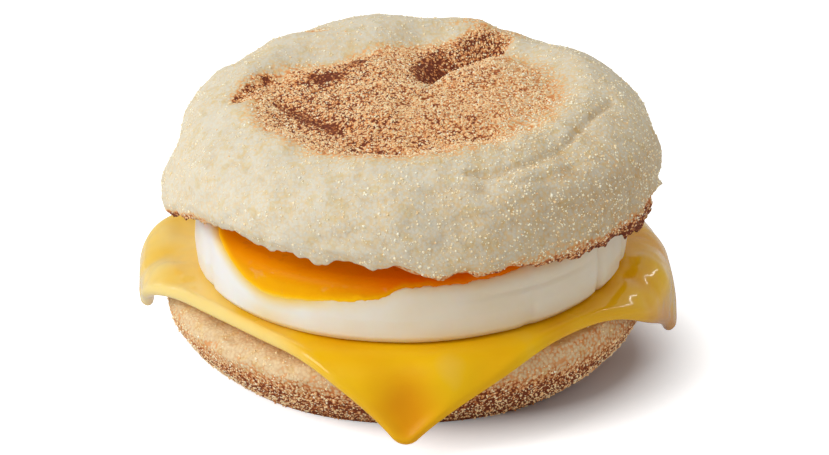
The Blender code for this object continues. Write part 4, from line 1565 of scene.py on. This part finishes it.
    def toast(self, rings: Array, skin_rows: int) -> Array:
        """Works out how brown the bread is.

        Args:
            rings: The form's rings.
            skin_rows: How many of them are skin.

        Returns:
            Browning at each point, 0 for pale to 1 for scorched.
        """
        x, y, height = rings[..., 0], rings[..., 1], rings[..., 2]
        angle = np.arctan2(y, x)
        patches = self.tint.layered(rings, 7 * MM, 3)
        fine = self.tint.layered(rings + 0.3, 2.2 * MM, 3, 0.7)
        reach = np.hypot((x + 0.5 * MM) / 30.0, (y + 4.5 * MM) / 29.5) / MM
        browned = smooth(1.15, 0.84, reach + 0.07 * patches + 0.07 * fine)
        beyond = (32 * (y - 20.5 * MM) - 15 * x) / 35.3
        browned *= smooth(4.0 * MM, -3.0 * MM, beyond + 1.5 * MM * patches + 1.5 * MM * fine)
        level = 0.42 + 0.12 * patches + 0.14 * fine + 0.14 * smooth(4 * MM, -16 * MM, x)
        level -= 0.13 * smooth(10 * MM, 22 * MM, x)
        toast = browned * level
        distance, side, along = self.fold.near(x, y)
        ends = smooth(0.02, 0.3, along) * smooth(1.02, 0.85, along)
        wall = np.where(side > 0, smooth(9.5 * MM, 4.5 * MM, distance), bell(distance, 1.3 * MM))
        toast = np.maximum(toast, ends * wall * (0.66 + 0.18 * fine + 0.1 * patches))
        toast += 0.22 * ends * bell(distance, 2.0 * MM) * smooth(0.85, 0.35, along)
        for mark in self.scorches:
            toast += mark.value(x, y) * (0.82 + 1.3 * fine)
        tanned = facing(angle, -0.75, 0.85) * smooth(28 * MM, 40 * MM, np.hypot(x, y))
        toast += 0.03 + 0.06 * patches + 0.05 * tanned
        toast += self.edge_toast(angle, height, fine)
        rows = np.arange(len(rings))[:, None]
        return np.clip(np.where(rows < skin_rows, toast, 0.30 + 0.2 * fine), 0, 1)

    def edge_toast(self, angle: Array, height: Array, fine: Array) -> Array:
        """Works out the browning of the torn lower edge, strongest at the right.

        Args:
            angle: Angle of each point.
            height: Its height.
            fine: Fine noise at each point.

        Returns:
            How much browner each point is for it.
        """
        over_rim = height - self.rim(angle)
        right = facing(angle, -0.45, 0.50)
        left = facing(angle, math.pi + 0.15, 0.4)
        front = facing(angle, -1.25, 0.35)
        depth = 4.4 * MM + 4.6 * MM * facing(angle, -0.28, 0.30)
        edge = 1.05 * right * smooth(depth, 0.2 * MM, over_rim + 2.2 * MM * fine)
        edge += 0.75 * left * smooth(1.8 * MM, 0.1 * MM, over_rim + 0.8 * MM * fine)
        return edge + 0.35 * front * smooth(1.4 * MM, 0.1 * MM, over_rim + 0.8 * MM * fine)

    def build(self) -> None:
        """Builds the crown and the cornmeal on its skin."""
        rings, skin_rows = self.rings()
        toast = self.toast(rings, skin_rows)
        x, y, height = rings[..., 0], rings[..., 1], rings[..., 2]
        angle = angle_of(rings)
        rows = np.arange(len(rings))[:, None]
        near_rim = smooth(skin_rows - 26, skin_rows - 6, rows) * smooth(skin_rows + 4, skin_rows, rows)
        browned = smooth(0.25, 0.5, toast)
        pebbles = self.crust.layered(rings, 2.2 * MM, 3, 0.75)
        soft = self.crust.layered(rings + 0.5, 8 * MM, 2)
        relief = (0.14 + 0.10 * browned + 0.36 * near_rim) * pebbles + 0.24 * soft * (1 - browned)
        flake = turned(angle, -0.60) - 1.6 * (height - 41 * MM)
        standing = bell(height - 40 * MM, 5 * MM)
        relief += standing * (0.5 * bell(flake, 0.03) - 0.7 * bell(flake - 0.055, 0.022))
        relief = np.where(rows < skin_rows + 2, relief, 0)
        points = rings + outward(rings) * ((relief - self.inset / MM) * MM)[..., None]
        # Painted shade: the pebbles' hollows are darkened, more in the browned dish and at the front, and so
        # are the wrinkles and the lower front-right flank outside the dish.
        painted_wrinkle_shade = sum(mark.value(x, y) for mark in self.wrinkles)
        to_front = facing(angle, -0.9, 0.9)
        cavity = np.clip(-1.3 * pebbles, 0, 1) * (0.30 + 0.35 * browned + 0.2 * to_front) + 0.55 * painted_wrinkle_shade
        cavity += 0.40 * facing(angle, -0.62, 0.75) * smooth(52 * MM, 46 * MM, height) * (1 - browned)
        top = STACK.moved(points[0].mean(axis=0))
        bottom = STACK.moved(np.array([0, 0, STACK.crown_seat]))
        values = {"toast": toast, "cavity": np.clip(cavity, 0, 1)}
        surface = Surface.turned(top, STACK.moved(points), bottom, values)
        finish = BreadFinish("floured_crown", CROWN_STOPS)
        surface.piece("crown_bread", finish.material(), "bread_top", "muffin_crown")
        self.dust(surface)

    def dust(self, surface: Surface) -> None:
        """Lays cornmeal on the skin, thickest in the browned dish and on the front right."""
        x, y, height = (surface.points - (*STACK.middle, 0)).T
        toast = surface.values["toast"]
        angle = np.arctan2(y, x)
        patches = self.tint.layered(surface.points + 0.9, 9 * MM, 2)
        in_dish = smooth(38 * MM, 33 * MM, np.hypot(x, y))
        browned = smooth(0.22, 0.42, toast) * in_dish
        scorched = smooth(0.66, 0.9, toast)
        thick = 0.07 + 0.08 * patches + 0.90 * browned
        thick += 0.19 * facing(angle, -0.85, 0.8) * (1 - browned)
        thick *= 1 - 0.8 * scorched
        thick *= smooth(33 * MM, 37 * MM, height) + 0.3
        thick[-1 - 10 * self.columns :] = 0
        tone = 0.12 + 0.30 * browned + 0.5 * scorched
        kinds = (
            ("crown_cornmeal", Cornmeal(Grain.CRYSTAL, 6200, 0.15 * MM, 0.36 * MM, 82)),
            ("crown_semolina", Cornmeal(Grain.SPLINTER, 10500, 0.09 * MM, 0.21 * MM, 84)),
        )
        for name, meal in kinds:
            meal.scatter(surface, thick, tone).piece(name, CORNMEAL, "bread_top")


CROWN_STOPS = (
    (0.0, linear(234, 226, 205)),
    (0.2, linear(238, 214, 170)),
    (0.4, linear(250, 194, 134)),
    (0.56, linear(234, 158, 98)),
    (0.75, linear(196, 116, 68)),
    (0.9, linear(156, 86, 54)),
    (1.0, linear(126, 64, 42)),
)
HEEL_STOPS = (
    (0.0, linear(250, 224, 180)),
    (0.25, linear(236, 205, 160)),
    (0.5, linear(236, 166, 104)),
    (0.75, linear(194, 110, 60)),
    (1.0, linear(132, 64, 34)),
)
CORNMEAL_STOPS = (
    (0.0, linear(255, 250, 226)),
    (0.3, linear(255, 233, 186)),
    (0.55, linear(255, 212, 154)),
    (0.8, linear(232, 160, 94)),
    (1.0, linear(160, 90, 52)),
)
CORNMEAL = GrainFinish("cornmeal", CORNMEAL_STOPS).material()


@dataclass
class Studio:
    """A pale floor, soft light from the upper left, and a camera at the photograph's angle.

    The floor glows for the camera alone so that it comes out white, except in a painted shadow: a round patch
    about the muffin, a little to its right, where the glow fades out and the floor shows darker.
    """

    frame_size: tuple[int, int] = (829, 455)
    target_pixel: tuple[float, float] = (404, 215)
    target_height: float = 28 * MM
    distance: float = 0.650
    elevation: float = 22 * DEGREE
    pixels_per_metre: float = 5050.0
    sensor: float = 36.0
    floor_half: float = 3.0
    floor_grey: float = 0.85
    floor_glow: float = 0.75
    shadow_middle: Colour = (0.016, -0.002, 0.0)
    shadow_start: float = 0.030
    shadow_fade: float = 0.018
    surroundings: float = 0.50

    def camera(self) -> None:
        """Places the camera and makes it the scene's own."""
        data = bpy.data.cameras.new("studio_camera")
        thing = add_thing("studio_camera", data)
        bpy.context.scene.camera = thing
        back = Vector((0, -math.cos(self.elevation), math.sin(self.elevation)))
        thing.location = Vector((0, 0, self.target_height)) + back * self.distance
        thing.rotation_euler = (-back).to_track_quat("-Z", "Y").to_euler()
        width, height = self.frame_size
        data.sensor_width = self.sensor
        data.lens = self.pixels_per_metre * self.distance * self.sensor / width
        data.shift_x = (width / 2 - self.target_pixel[0]) / width
        data.shift_y = (self.target_pixel[1] - height / 2) / width

    def floor(self) -> None:
        """Lays a wide pale floor."""
        half = self.floor_half
        mesh = bpy.data.meshes.new("studio_floor")
        corners = [(-half, -half, 0), (half, -half, 0), (half, half, 0), (-half, half, 0)]
        mesh.from_pydata(corners, [], [(0, 1, 2, 3)])
        material, plan, shader = principled("studio_floor")
        seen = plan.add("ShaderNodeLightPath").outputs["Is Camera Ray"]
        away = plan.add("ShaderNodeVectorMath", operation="DISTANCE")
        plan.feed(plan.place(), away.inputs[0])
        away.inputs[1].default_value = self.shadow_middle
        # Painted shadow: the glow is held back within shadow_start of shadow_middle and fades in over
        # shadow_fade.
        past = plan.minus(away.outputs["Value"], self.shadow_start)
        shown = plan.times(seen, plan.math("DIVIDE", past, self.shadow_fade, clamp=True))
        inputs = {
            "Base Color": (self.floor_grey, self.floor_grey, self.floor_grey, 1),
            "Roughness": 0.9,
            "Specular IOR Level": 0.0,
            "Emission Color": plan.mix(shown, (0, 0, 0), (1, 1, 1)),
            "Emission Strength": self.floor_glow,
        }
        plan.dress(shader, inputs)
        mesh.materials.append(material)
        add_thing("studio_floor", mesh)

    def lamp(self, name: str, place: Colour, size: tuple[float, float], power: float) -> None:
        """Hangs a soft light that points at the muffin.

        Args:
            name: The light's name.
            place: Where it hangs.
            size: Its width and height.
            power: Its power in watts.
        """
        data = bpy.data.lights.new(name, "AREA")
        data.shape = "RECTANGLE"
        data.size, data.size_y = size
        data.energy = power
        thing = add_thing(name, data)
        thing.location = place
        way = Vector((0, 0, self.target_height)) - Vector(place)
        thing.rotation_euler = way.to_track_quat("-Z", "Y").to_euler()

    def world(self) -> None:
        """Fills the surroundings with even white light."""
        world = bpy.data.worlds.new("studio_world")
        bpy.context.scene.world = world
        world.use_nodes = True
        background = world.node_tree.nodes["Background"]
        background.inputs["Color"].default_value = (1, 1, 1, 1)
        background.inputs["Strength"].default_value = self.surroundings

    def build(self) -> None:
        """Sets the whole studio up."""
        self.camera()
        self.floor()
        self.world()
        self.lamp("key_light", (-0.70, -0.34, 0.62), (0.55, 0.55), 4.4)
        self.lamp("right_strip", (0.46, 0.39, 0.53), (0.018, 0.40), 0.34)
        self.lamp("left_strip", (-0.56, 0.40, 0.40), (0.018, 0.40), 0.34)
        bpy.context.scene.view_settings.view_transform = "Standard"


def main() -> None:
    """Builds the studio and every layer of the muffin, from the table up."""
    logging.basicConfig(level=logging.INFO, format="%(message)s")
    Studio().build()
    Heel().build()
    CheeseSlice().build()
    Egg().build()
    Crown().build()


if __name__ == "__main__":
    main()
